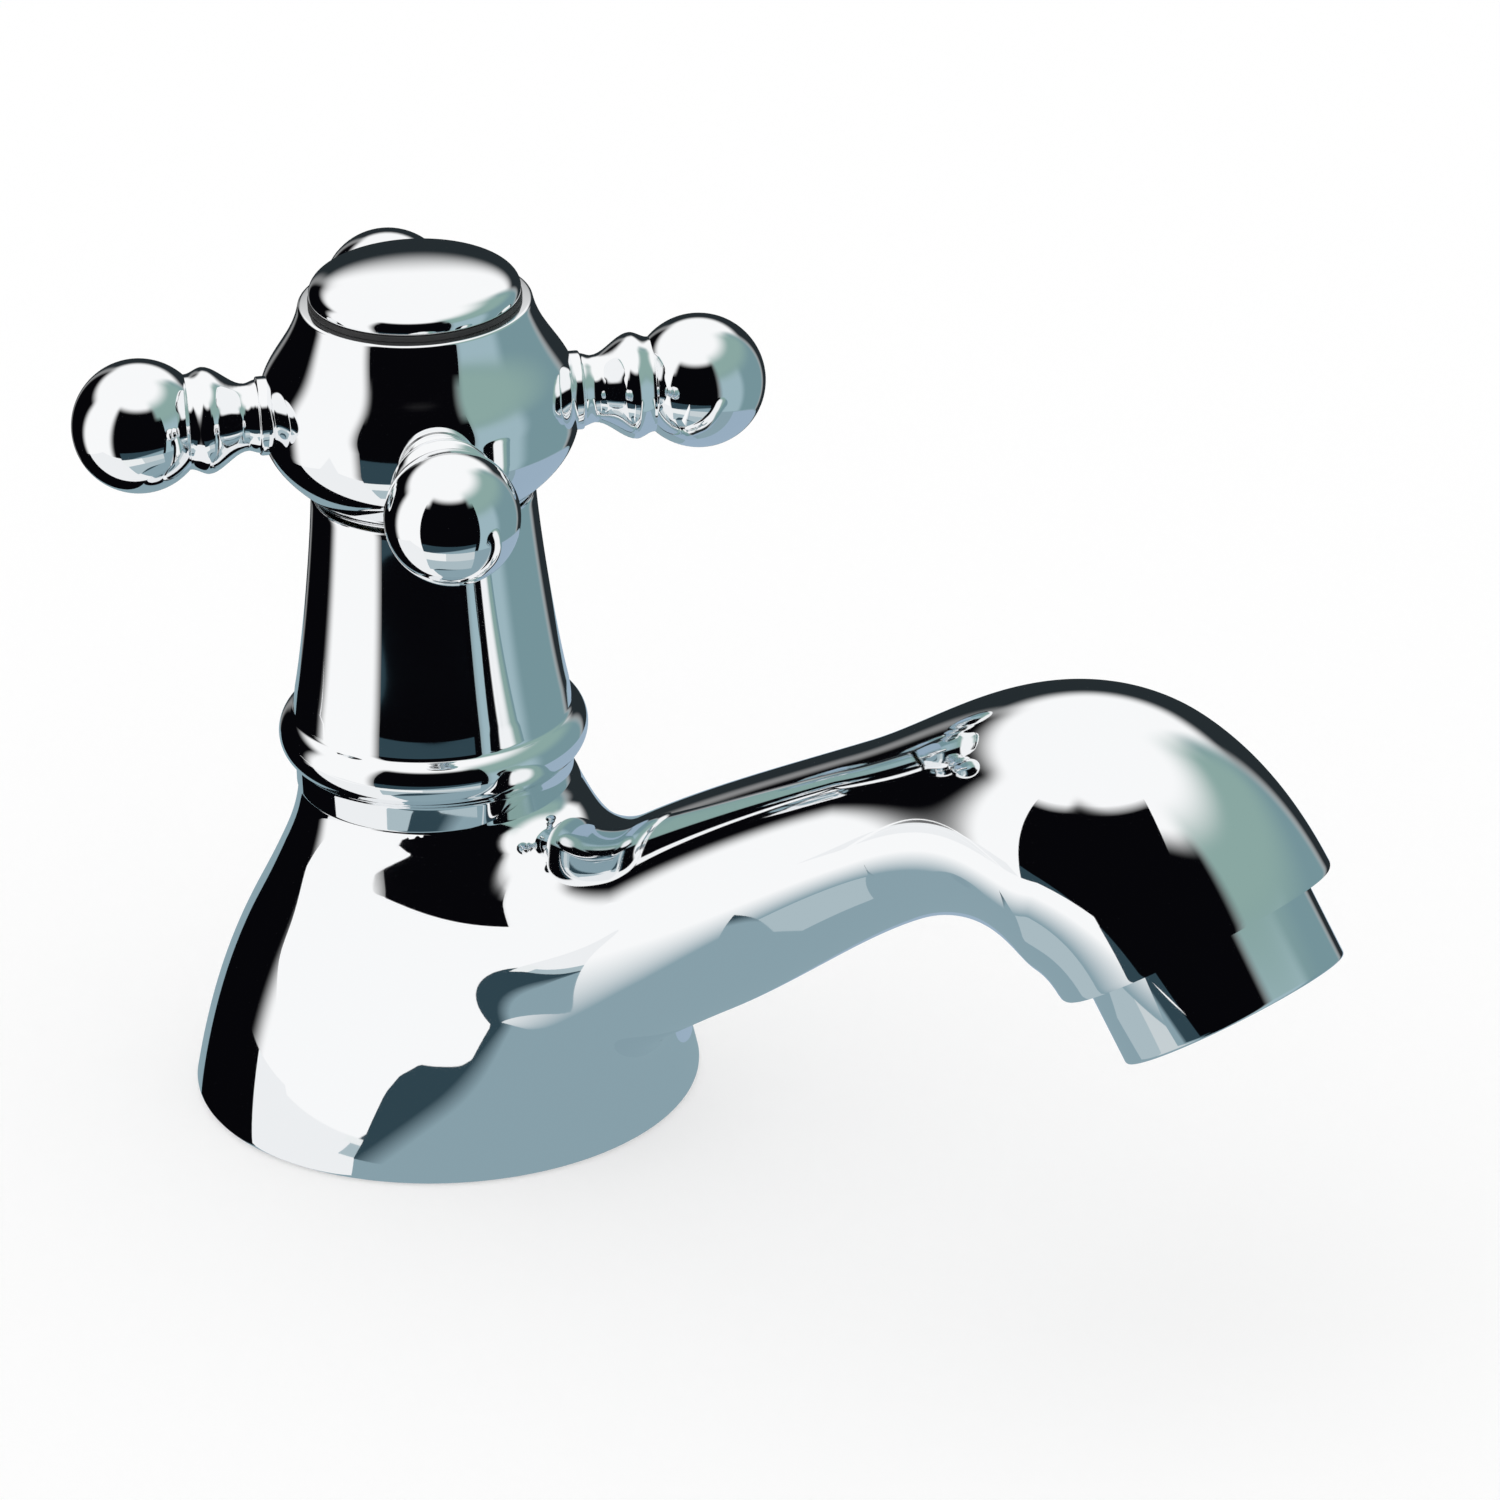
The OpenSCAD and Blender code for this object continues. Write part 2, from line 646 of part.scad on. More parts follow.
module handle_hub() {
    cone = [[hub_foot_r, hub_z + edge], [hub_foot_r + hub_flare, hub_z + hub_flare],
        [hub_r, arm_z - hub_pull], [hub_r, arm_z - hub_flat]];
    crown = [[hub_r, arm_z + hub_flat], [hub_r, arm_z + hub_pull],
        [hub_lip_r + hub_tuck, hub_top_z - hub_pull], [hub_lip_r, hub_top_z - edge]];
    color(chrome) difference() {
        rotate_extrude() polygon(concat([[0, hub_z], [hub_foot_r - edge, hub_z]], curve(cone),
            curve(crown), [[hub_lip_r - edge, hub_top_z], [0, hub_top_z]]));
        rod(hub_relief_r, hub_z - past, hub_relief_z);
        rod(insert_r + press_gap, hub_relief_z - past, hub_web_z);
        rod(handle_screw_r + loose_gap, hub_web_z - past, hub_web_z + hub_web_t + past);
        rod(cap_skirt_r + thread_gap, hub_web_z + hub_web_t, hub_top_z + past);
        for (i = [0:arm_count - 1]) at_arm(i) {
            rod(stub_r + press_gap, arm_seat - stub_len - loose_gap, arm_seat + past);
            rod(arm_foot_r + touch_gap, arm_seat, hub_r + past);
        }
    }
}

module handle_arm(i) {
    foot_x = arm_seat + arm_foot_t;
    shape = [[foot_x, arm_neck_r + edge], [arm_neck_x, arm_neck_r], [arm_bead_x, arm_bead_r],
        [arm_waist_x, arm_waist_r]];
    outline = [for (k = [0:arm_steps]) let (x = foot_x + (arm_waist_x - foot_x) * k / arm_steps)
        [along(shape, x), x]];
    color(chrome) at_arm(i) {
        rotate_extrude() polygon(concat([[0, arm_seat - stub_len], [stub_r, arm_seat - stub_len],
            [stub_r, arm_seat], [arm_foot_r, arm_seat], [arm_foot_r, foot_x]], outline,
            [[arm_waist_r, ball_reach], [0, ball_reach]]));
        translate([0, 0, ball_reach]) sphere(r = ball_r);
    }
}

module handle_screw() {
    head_z = hub_web_z + hub_web_t;
    color(steel) difference() {
        union() {
            rod(handle_screw_r, head_z - handle_screw_len, head_z + past);
            rod(handle_screw_head_r, head_z, head_z + handle_screw_head_t);
        }
        for (a = [0, 90]) rotate(a)
            translate([0, 0, head_z + handle_screw_head_t])
                cube([5, handle_screw_slot, handle_screw_head_t], center = true);
    }
}

module cap_ring() {
    color(rubber) ring(cap_r + touch_gap, cap_skirt_r + touch_gap, hub_top_z, cap_ring_t);
}

// Handles of the dome's curve, as shares of its height and radius
dome_side = 0.74;
dome_flat = 0.57;

module domed_cap() {
    dome = [[cap_r, cap_z + chamfer], [cap_r, cap_z + dome_h * dome_side],
        [cap_r * dome_flat, cap_z + dome_h], [0, cap_z + dome_h]];
    cap_skirt_z = hub_top_z - cap_well + 2 * loose_gap;
    bore = cap_skirt_r - cap_skirt_wall;
    color(chrome) difference() {
        rotate_extrude() polygon(concat([[0, cap_skirt_z], [cap_skirt_r, cap_skirt_z],
            [cap_skirt_r, cap_z], [cap_r - edge, cap_z]], curve(dome)));
        rod(bore, cap_skirt_z - past, cap_z);
    }
}

module jumper_carrier() {
    color(brass) difference() {
        union() {
            rod(cup_r, cup_z - cup_lip, guide_z);
            hexagon(jumper_flats, guide_z - past, jumper_top_z);
            rod(stud_r, washer_z - jumper_nut_t - loose_gap, guide_z);
        }
        ring(washer_r + touch_gap, stud_r, cup_z - cup_lip - past, cup_lip + past);
        rod(screw_r + run_gap, well_z, jumper_top_z + past);
    }
}

module jumper_washer() {
    color(rubber) ring(washer_r, stud_r + press_gap, washer_z, washer_t);
}

module jumper_nut() {
    color(brass) difference() {
        nut_blank(jumper_nut_flats, washer_z - jumper_nut_t, washer_z);
        rod(stud_r + press_gap, washer_z - jumper_nut_t - past, washer_z + past);
    }
}

body_casting();
inlet_tail();
foot_gasket();
under_deck_washer();
clamp_washer();
backnut();
valve_bonnet();
bonnet_seal();
shroud_o_ring();
shroud();
thrust_washer();
nozzle_washer();
nozzle_shell();
aerator_cartridge();
aerator_screen();
spindle();
spindle_o_rings();
spindle_circlip();
hub_insert();
handle_hub();
handle_arm(0);  // handle_arm_1
handle_arm(1);  // handle_arm_2
handle_arm(2);  // handle_arm_3
handle_arm(3);  // handle_arm_4
handle_screw();
cap_ring();
domed_cap();
jumper_carrier();
jumper_washer();
jumper_nut();
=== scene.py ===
# A basin pillar tap with a cross handle: bell foot, swan spout, tapered shroud and ball-ended arms,
# with its compression valve inside and its fixings below the deck. The sections follow the tap as a
# fitter puts it together. Sizes are in millimetres until a piece is finished, and then in metres.
import json
from math import atan2, cos, degrees, pi, radians, sin, sqrt

import bmesh
import bpy
import numpy as np
from mathutils import Matrix, Vector

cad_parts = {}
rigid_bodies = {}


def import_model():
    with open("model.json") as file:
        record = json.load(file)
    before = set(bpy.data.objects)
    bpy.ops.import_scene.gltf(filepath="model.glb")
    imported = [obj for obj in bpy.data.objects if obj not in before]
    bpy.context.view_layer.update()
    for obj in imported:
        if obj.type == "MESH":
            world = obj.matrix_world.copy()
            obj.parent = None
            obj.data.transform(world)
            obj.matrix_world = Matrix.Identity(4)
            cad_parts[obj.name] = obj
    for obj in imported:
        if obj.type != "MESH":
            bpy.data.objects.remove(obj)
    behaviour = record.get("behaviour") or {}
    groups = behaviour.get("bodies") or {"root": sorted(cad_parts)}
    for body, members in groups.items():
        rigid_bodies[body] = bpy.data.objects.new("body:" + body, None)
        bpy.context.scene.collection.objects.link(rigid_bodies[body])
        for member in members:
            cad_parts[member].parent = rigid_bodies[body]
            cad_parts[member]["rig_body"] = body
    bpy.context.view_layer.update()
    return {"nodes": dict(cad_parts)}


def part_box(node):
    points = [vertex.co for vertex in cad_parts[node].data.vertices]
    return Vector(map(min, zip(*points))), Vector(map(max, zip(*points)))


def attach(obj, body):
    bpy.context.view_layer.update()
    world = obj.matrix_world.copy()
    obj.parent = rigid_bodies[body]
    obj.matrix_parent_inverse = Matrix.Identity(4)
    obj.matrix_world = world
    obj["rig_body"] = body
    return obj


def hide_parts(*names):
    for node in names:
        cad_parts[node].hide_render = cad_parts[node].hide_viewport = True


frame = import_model()
MM = 0.001


# ---- Camera -------------------------------------------------------------------------------------
# A long lens, a little above the handle, that looks past the spout's left side at the whole tap.
camera_target = Vector((25.5, 19.7, 35.6)) * MM
camera_distance = 1.15
camera_turn = radians(37.7)
camera_height = radians(25.6)
camera_roll = radians(-1.75)

lens = bpy.data.cameras.new("camera")
lens.sensor_width = 36
lens.lens = 269.8
lens.clip_start = 0.01
camera = bpy.data.objects.new("camera", lens)
bpy.context.scene.collection.objects.link(camera)
camera_way = (Matrix.Rotation(camera_turn, 4, "Z") @ Matrix.Rotation(pi / 2 - camera_height, 4, "X")
              @ Matrix.Rotation(camera_roll, 4, "Z"))
camera_back = camera_way @ Vector((0, 0, camera_distance))
camera.matrix_world = Matrix.Translation(camera_target + camera_back) @ camera_way
bpy.context.scene.camera = camera


# ---- Studio -------------------------------------------------------------------------------------
# A matt white deck in a white room, clear from below. Cards that only polished metal shows stand
# round the tap: a blue-grey table with sheets and runners, a kerb, a skirting, a black flag, a
# white shelf and board, and walls further off. Directions are bearings in degrees.
deck_half = 1500
table_r, table_colour = 125, (0.26, 0.37, 0.42)
left_corner, right_corner, back_corner = Vector((-6, -26)), Vector((7, -26)), Vector((-17, -20))
window_from, window_to, dark_from, dark_to = 206, 266, 150, 345
flag_from, flag_high, flag_blur = 267, 150, 12
sheet_z, runner_z, runner_from, runner_split, runner_to, runner_r = 0.02, 0.04, 270, 300, 340, 86
skirting_r, skirting_high, dark_blue = table_r - 0.5, 30, (0.030, 0.060, 0.078)
kerb_r, kerb_edge = 50, [(276, 0), (279, 3), (282, 7), (286, 12), (291, 15.5), (298, 17.5),
                         (306, 16.5), (312, 15.5), (340, 14)]
kerb_lean, kerb_shade = -0.5, (-7, -2.5)
shelf_z, shelf_y = 34, -30
shelf_edge = [(-70, 0), (4, 0), (15, 4), (30, 8), (53, 12), (75, 18), (105, 31)]
board_from, board_way, board_size, board_shade = Vector((22, -20)), 300, (110, 34), (1, 21)
walls_r = 1200
black, white = (0.002, 0.002, 0.003), (1, 1, 1)


def object_of(bm, name):
    """The object of a mesh drawn in millimetres."""
    mesh = bpy.data.meshes.new(name)
    bm.to_mesh(mesh)
    bm.free()
    piece = bpy.data.objects.new(name, mesh)
    bpy.context.scene.collection.objects.link(piece)
    return piece


def plain_light(name, colour):
    """An even glow of one colour, and its material's nodes and links."""
    glow = bpy.data.materials.new(name)
    glow.use_nodes = True
    glow.cycles.emission_sampling = "NONE"
    nodes, links = glow.node_tree.nodes, glow.node_tree.links
    nodes.remove(nodes["Principled BSDF"])
    light = nodes.new("ShaderNodeEmission")
    links.new(light.outputs["Emission"], nodes["Material Output"].inputs["Surface"])
    # Light that the tap throws on the deck stays white
    path = nodes.new("ShaderNodeLightPath")
    tint = nodes.new("ShaderNodeMix")
    tint.data_type = "RGBA"
    tint.inputs[6].default_value = (*colour, 1)
    tint.inputs[7].default_value = (1, 1, 1, 1)
    links.new(path.outputs["Diffuse Depth"], tint.inputs[0])
    links.new(tint.outputs[2], light.inputs["Color"])
    return glow, tint, light, nodes, links


def card(bm, name, glow):
    """A card that only polished surfaces show."""
    board = object_of(bm, name)
    board.data.transform(Matrix.Scale(MM, 4))
    board.data.materials.append(glow)
    board.visible_camera = board.visible_diffuse = board.visible_shadow = False
    board.visible_transmission = board.visible_volume_scatter = False
    return board


def along(start, bearing, length):
    """A point on the table at a distance and bearing from another."""
    return start + Vector((cos(radians(bearing)), sin(radians(bearing)))) * length


def sheet(name, outline, colour):
    """A flat sheet from its corners."""
    bm = bmesh.new()
    bm.faces.new([bm.verts.new((*corner, sheet_z)) for corner in outline])
    return card(bm, name, plain_light(name, colour)[0])


def upright(start, end, radius, low, high):
    """An upright card bent round the tap, between two bearings."""
    bm = bmesh.new()
    foot = bm.verts.new((radius * cos(radians(start)), radius * sin(radians(start)), low))
    head = bm.verts.new((*foot.co.xy, high))
    bmesh.ops.spin(bm, geom=[foot, head, bm.edges.new((foot, head))], cent=(0, 0, 0),
                   axis=(0, 0, 1), dvec=(0, 0, 0), angle=radians(end - start), steps=48)
    return bm


def cleared(nodes, links, surface, share):
    """Mixes a surface with clear air by a share."""
    either = nodes.new("ShaderNodeMixShader")
    links.new(share, either.inputs["Fac"])
    links.new(surface, either.inputs[1])
    links.new(nodes.new("ShaderNodeBsdfTransparent").outputs["BSDF"], either.inputs[2])
    links.new(either.outputs["Shader"], nodes["Material Output"].inputs["Surface"])


def one_sided(glow, light, nodes, links):
    """Clears a glow's back."""
    back = nodes.new("ShaderNodeNewGeometry").outputs["Backfacing"]
    cleared(nodes, links, light.outputs["Emission"], back)
    return glow


deck_finish = bpy.data.materials.new("matt white deck")
deck_finish.use_nodes = True
nodes, links = deck_finish.node_tree.nodes, deck_finish.node_tree.links
nodes.remove(nodes["Principled BSDF"])
matt = nodes.new("ShaderNodeBsdfDiffuse")
matt.inputs["Color"].default_value = (1, 1, 1, 1)
below = nodes.new("ShaderNodeNewGeometry").outputs["Backfacing"]
cleared(nodes, links, matt.outputs["BSDF"], below)

bm = bmesh.new()
bmesh.ops.create_grid(bm, x_segments=1, y_segments=1, size=deck_half)
deck = object_of(bm, "deck")
deck.data.transform(Matrix.Scale(MM, 4))
deck.data.materials.append(deck_finish)
deck.visible_glossy = False

bm = bmesh.new()
bmesh.ops.create_circle(bm, cap_ends=True, segments=96, radius=table_r)
card(bm, "table top", plain_light("blue-grey table", table_colour)[0])
sheet("white sheet", [left_corner, along(left_corner, window_from, 130),
                      along(right_corner, 236, 170), along(right_corner, window_to, 110),
                      right_corner], (0.9, 0.91, 0.92))
sheet("black sheet", [left_corner, back_corner, along(back_corner, dark_from, 125),
                      along(left_corner, 180, 150), along(left_corner, window_from, 130)], black)
pale_arc = [along(Vector((0, 0)), bearing, 122) for bearing in range(20, 121, 10)]
sheet("pale sheet", pale_arc + [Vector((0, 20))], (0.33, 0.44, 0.55))


def graded(name, first, second, lean, start, end):
    """A glow that passes from one colour to another as the height plus a share of x rises."""
    glow, tint, light, nodes, links = plain_light(name, first)
    parts, slope = nodes.new("ShaderNodeSeparateXYZ"), nodes.new("ShaderNodeMath")
    shade, tone = nodes.new("ShaderNodeMapRange"), nodes.new("ShaderNodeMix")
    slope.operation = "MULTIPLY_ADD"
    links.new(nodes.new("ShaderNodeTexCoord").outputs["Object"], parts.inputs[0])
    links.new(parts.outputs["X"], slope.inputs[0])
    slope.inputs[1].default_value = lean
    links.new(parts.outputs["Z"], slope.inputs[2])
    links.new(slope.outputs[0], shade.inputs["Value"])
    shade.inputs["From Min"].default_value = start * MM
    shade.inputs["From Max"].default_value = end * MM
    links.new(shade.outputs["Result"], tone.inputs[0])
    tone.data_type = "RGBA"
    tone.inputs[6].default_value = (*first, 1)
    tone.inputs[7].default_value = (*second, 1)
    links.new(tone.outputs[2], tint.inputs[6])
    return glow, light, nodes, links


for name, radius, start in (("kerb", kerb_r, kerb_edge[0][0]), ("skirting", skirting_r, flag_from)):
    bm = upright(start, kerb_edge[-1][0], radius, 0, skirting_high)
    for v in (v for v in bm.verts if radius == kerb_r and v.co.z > 0):
        v.co.z = np.interp(degrees(atan2(v.co.y, v.co.x)) % 360, *zip(*kerb_edge))
    lean = kerb_lean * kerb_r / radius
    card(bm, name, graded(name, table_colour, dark_blue, lean, *kerb_shade)[0])

# Each runner is drawn upright, and its top edge is then laid out flat to its far side
for name, start, end, near, far, colour in [
        ("near runner", runner_from, runner_to, kerb_r + 1, runner_r, (0.42, 0.52, 0.56)),
        ("left runner", flag_from, runner_split, runner_r, table_r - 1, (0.88, 0.90, 0.90)),
        ("right runner", runner_split, runner_to, runner_r, table_r - 1, (0.60, 0.66, 0.68))]:
    bm = upright(start, end, near, 0, 1)
    for v in bm.verts:
        v.co.xy *= 1 + (far / near - 1) * v.co.z
        v.co.z = runner_z
    card(bm, name, plain_light(name, colour)[0])

glow, _, light, nodes, links = plain_light("black flag", black)
parts, fade = nodes.new("ShaderNodeSeparateXYZ"), nodes.new("ShaderNodeMapRange")
fade.inputs["From Min"].default_value = (flag_high - flag_blur) * MM
fade.inputs["From Max"].default_value = (flag_high + flag_blur) * MM
links.new(nodes.new("ShaderNodeTexCoord").outputs["Object"], parts.inputs[0])
links.new(parts.outputs["Z"], fade.inputs["Value"])
cleared(nodes, links, light.outputs["Emission"], fade.outputs["Result"])
card(upright(flag_from, dark_to, table_r, 0, flag_high + flag_blur), "black flag", glow)

# The shelf slopes from a level front edge down to a shaped edge on the table's rim
bm = bmesh.new()
near = [bm.verts.new((x, shelf_y, shelf_z)) for x, _ in shelf_edge]
far = [bm.verts.new((x, -sqrt(table_r**2 - x * x), z)) for x, z in shelf_edge]
for a, b, c, d in zip(near, near[1:], far[1:], far):
    bm.faces.new((a, b, c, d))
glow, _, *surface = plain_light("white shelf", white)
card(bm, "white shelf", one_sided(glow, *surface))

(x0, y0), (x1, y1) = board_from, along(board_from, board_way, board_size[0])
bm = bmesh.new()
bm.faces.new([bm.verts.new(corner) for corner in ((x0, y0, 0), (x0, y0, board_size[1]),
                                                  (x1, y1, board_size[1]), (x1, y1, 0))])
card(bm, "white board", one_sided(*graded("white board", table_colour, white, 0, *board_shade)))

# One wall panel laid over what is behind it: it fills a range of bearings and of heights
panel = bpy.data.node_groups.new("wall panel", "ShaderNodeTree")
for name in ("Behind", "Panel"):
    panel.interface.new_socket(name, in_out="INPUT", socket_type="NodeSocketColor")
for name in ("Middle", "Half Width", "Low", "High", "Softness"):
    panel.interface.new_socket(name, in_out="INPUT", socket_type="NodeSocketFloat")
panel.interface.new_socket("Color", in_out="OUTPUT", socket_type="NodeSocketColor")


def maths(tree, kind, *values):
    """A Math node fed with numbers or sockets, and its result."""
    node = tree.nodes.new("ShaderNodeMath")
    node.operation = kind
    for socket, value in zip(node.inputs, values):
        if isinstance(value, bpy.types.NodeSocket):
            tree.links.new(value, socket)
        else:
            socket.default_value = value
    return node.outputs[0]


def rising(tree, value, start, end):
    """A soft step from nothing at start to all at end."""
    step = tree.nodes.new("ShaderNodeMapRange")
    step.interpolation_type = "SMOOTHSTEP"
    for name, source in (("Value", value), ("From Min", start), ("From Max", end)):
        if isinstance(source, bpy.types.NodeSocket):
            tree.links.new(source, step.inputs[name])
        else:
            step.inputs[name].default_value = source
    return step.outputs["Result"]


given = panel.nodes.new("NodeGroupInput").outputs
parts = panel.nodes.new("ShaderNodeSeparateXYZ")
panel.links.new(panel.nodes.new("ShaderNodeTexCoord").outputs["Object"], parts.inputs[0])
x, y, z = parts.outputs
bearing = maths(panel, "DEGREES", maths(panel, "ARCTAN2", y, x))
off = maths(panel, "WRAP", maths(panel, "SUBTRACT", bearing, given["Middle"]), 180.0, -180.0)
off = maths(panel, "ABSOLUTE", off)
height = maths(panel, "DEGREES", maths(panel, "ARCSINE", maths(panel, "DIVIDE", z, walls_r * MM)))
half = maths(panel, "MULTIPLY", given["Softness"], 0.5)
across = rising(panel, off, maths(panel, "ADD", given["Half Width"], half),
                maths(panel, "SUBTRACT", given["Half Width"], half))
over = rising(panel, height, maths(panel, "SUBTRACT", given["Low"], half),
              maths(panel, "ADD", given["Low"], half))
under = rising(panel, height, maths(panel, "ADD", given["High"], half),
               maths(panel, "SUBTRACT", given["High"], half))
laid = panel.nodes.new("ShaderNodeMix")
laid.data_type = "RGBA"
filled = maths(panel, "MULTIPLY", across, maths(panel, "MULTIPLY", over, under))
panel.links.new(filled, laid.inputs[0])
panel.links.new(given["Behind"], laid.inputs[6])
panel.links.new(given["Panel"], laid.inputs[7])
panel.links.new(laid.outputs[2], panel.nodes.new("NodeGroupOutput").inputs[0])

# Each row gives a panel's bearings, its lowest and highest elevation, its softness and its colour
glow, tint, _, nodes, links = plain_light("walls", white)
behind = None
for start, end, low, high, soft, colour in [
        (-15, 86, -100, 45, 14, (0.19, 0.31, 0.34)), (-15, 28, -100, 25, 14, (0.35, 0.49, 0.54)),
        (-20, 82, 22, 56, 24, (0.27, 0.41, 0.38)), (86, 150, -100, 26, 14, (0.02, 0.027, 0.031)),
        (dark_from, window_from, -100, 30, 14, black),
        (window_to - 4, dark_to, -100, 50, 12, black)]:
    laid = nodes.new("ShaderNodeGroup")
    laid.node_tree = panel
    laid.inputs["Panel"].default_value = (*colour, 1)
    laid.inputs["Behind"].default_value = (1, 1, 1, 1)
    for name, value in (("Middle", (start + end) / 2), ("Half Width", (end - start) / 2),
                        ("Low", low), ("High", high), ("Softness", soft)):
        laid.inputs[name].default_value = value
    if behind:
        links.new(behind, laid.inputs["Behind"])
    behind = laid.outputs["Color"]
links.new(behind, tint.inputs[6])
bm = bmesh.new()
bmesh.ops.create_icosphere(bm, subdivisions=5, radius=walls_r)
card(bm, "walls", glow)

room = bpy.data.worlds.new("white room")
room.use_nodes = True
bpy.context.scene.world = room
room.node_tree.nodes["Background"].inputs["Color"].default_value = (1, 1, 1, 1)
room.node_tree.nodes["Background"].inputs["Strength"].default_value = 1.0
bpy.context.scene.view_settings.view_transform = "Standard"


# ---- Body casting -------------------------------------------------------------------------------
# The foot, the neck and the spout are one brass casting, with the valve's seat and the waterway
# cored into it. Its outside is ground to one flowing skin, polished and chrome plated.
foot_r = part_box("body_casting")[1].y / MM
neck_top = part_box("shroud")[0].z / MM
neck_r = 14.0
foot_ease = 0.8
bell_line = [(foot_r, foot_ease), (foot_r - 4.08, neck_top * 0.64),
             (neck_r + 0.5, neck_top * 0.725), (neck_r, neck_top)]
spout_line = [(0, 15), (23.46, 9.06), (75.27, 73.07), (95.2, 41.9)]
spout_radii = [(0, 13.6), (0.35, 10.8), (0.592, 9.2), (0.87, 14.9), (1, 14.7)]
spout_start = 0.08
fillet, crotch_fillet = 9.0, 9.5
crotch_low, crotch_rise, crotch_high, crotch_fall = 16, 12, 40, 8
skin_grain = 0.6


def bezier(handles, t):
    """Point, slope and bend of a curve with four handles at t, which may be an array."""
    a, b, c, d = (np.array(h, float) for h in handles)
    t = np.asarray(t, float)[..., None]
    s = 1 - t
    return (s**3 * a + 3 * s * s * t * b + 3 * s * t * t * c + t**3 * d,
            3 * (s * s * (b - a) + 2 * s * t * (c - b) + t * t * (d - c)),
            6 * (s * (c - 2 * b + a) + t * (d - 2 * c + b)))


def spout_radius(t):
    """Radius of the spout at t along its line, and how fast it grows there."""
    radius, growth = np.zeros_like(t), np.zeros_like(t)
    for (t0, r0), (t1, r1) in zip(spout_radii, spout_radii[1:]):
        here = (t >= t0) & (t <= t1)
        s = (t[here] - t0) / (t1 - t0)
        radius[here] = r0 + (r1 - r0) * s * s * (3 - 2 * s)
        growth[here] = (r1 - r0) * 6 * s * (1 - s) / (t1 - t0)
    radius[t > 1] = spout_radii[-1][1]
    return radius, growth


def casting_skin(p):
    """How far points lie outside the casting's skin, and the way out: the bell and the spout
    flow together where they meet."""
    x, y, z = p.T
    fine = np.linspace(0, 1, 4000)
    point, slope, _ = bezier(bell_line, fine)
    out = np.hypot(x, y)
    bell = out - np.interp(z, point[:, 1], point[:, 0])
    inside = (z > foot_ease) & (z < neck_top)
    lean = np.where(inside, np.interp(z, point[:, 1], slope[:, 0] / slope[:, 1]), 0)
    bell_way = np.stack([x / out, y / out, -lean], 1)

    flat = p[:, [0, 2]]
    coarse = np.linspace(spout_start, 1.05, 160)
    stations = bezier(spout_line, coarse)[0]
    t = coarse[((flat[:, None] - stations) ** 2).sum(2).argmin(1)]
    for _ in range(5):
        point, slope, bend = bezier(spout_line, t)
        off = flat - point
        step = (off * slope).sum(1) / ((slope**2).sum(1) - (off * bend).sum(1))
        t = np.clip(t + step, spout_start, 1.08)
    point, slope, bend = bezier(spout_line, t)
    off = flat - point
    across = np.sqrt((off**2).sum(1) + y * y)
    radius, growth = spout_radius(t)
    spout = across - radius
    along = slope / ((slope**2).sum(1) - (off * bend).sum(1))[:, None]
    spout_way = np.stack([off[:, 0] / across, y / across, off[:, 1] / across], 1)
    spout_way[:, [0, 2]] -= growth[:, None] * along

    # The fillet is fuller in the crotch between the neck and the top of the spout
    rise = np.clip((z - crotch_low) / crotch_rise, 0, 1)
    fall = np.clip((crotch_high - z) / crotch_fall, 0, 1)
    full = fillet + crotch_fillet * rise**2 * (3 - 2 * rise) * fall**2 * (3 - 2 * fall)
    grows = crotch_fillet * (6 / crotch_rise * rise * (1 - rise) * fall**2 * (3 - 2 * fall)
                             - 6 / crotch_fall * fall * (1 - fall) * rise**2 * (3 - 2 * rise))
    near = np.clip(1 - np.abs(bell - spout) / full, 0, 1)
    share = np.where(bell < spout, near * near / 2, 1 - near * near / 2)[:, None]
    way = bell_way * (1 - share) + spout_way * share
    way[:, 2] -= grows * near * near * (3 - 2 * near) / 6
    return np.minimum(bell, spout) - near**3 * full / 6, way


def spun(outline, steps=128, turn=2 * pi):
    """A solid of revolution about the Z axis from an outline of (radius, height) points."""
    bm = bmesh.new()
    verts = [bm.verts.new((r, 0, z)) for r, z in outline]
    edges = [bm.edges.new(pair) for pair in zip(verts, verts[1:])]
    bmesh.ops.spin(bm, geom=verts + edges, cent=(0, 0, 0), axis=(0, 0, 1), dvec=(0, 0, 0),
                   angle=turn, steps=steps, use_merge=True)
    bmesh.ops.remove_doubles(bm, verts=bm.verts, dist=1e-4)
    bmesh.ops.recalc_face_normals(bm, faces=bm.faces)
    return bm


def swept(bm, line, radii, stations, sides):
    """A closed tube of round sections square to a line in the XZ plane."""
    loop = []
    for t, radius in zip(stations, radii):
        (x, z), (dx, dz), _ = bezier(line, t)
        place = Matrix.Translation((x, 0, z)) @ Matrix.Rotation(atan2(dx, dz), 4, "Y")
        ring = bmesh.ops.create_circle(bm, segments=sides, radius=radius, matrix=place)["verts"]
        edges = list({e for v in ring for e in v.link_edges})
        if loop:
            bmesh.ops.bridge_loops(bm, edges=loop + edges)
        loop = edges
    ends = [e for e in bm.edges if e.is_boundary]
    bmesh.ops.holes_fill(bm, edges=ends)


def carried(bm, loop, rings, place=Matrix()):
    """Carries a round open edge on through rings of (radius, height) about place's Z axis."""
    for radius, height in rings:
        grown = bmesh.ops.extrude_edge_only(bm, edges=loop)["geom"]
        loop = [e for e in grown if isinstance(e, bmesh.types.BMEdge)]
        for v in (v for v in grown if isinstance(v, bmesh.types.BMVert)):
            here = place.inverted() @ v.co
            here = Vector((here.x, here.y, 0)).normalized() * radius
            v.co = place @ (here + Vector((0, 0, height)))
    return loop


def rim(bm, at, way):
    """The edges of the open edge that lies in a plane."""
    return [e for e in bm.edges if e.is_boundary
            and all(abs((v.co - at).dot(way)) < 0.05 for v in e.verts)]


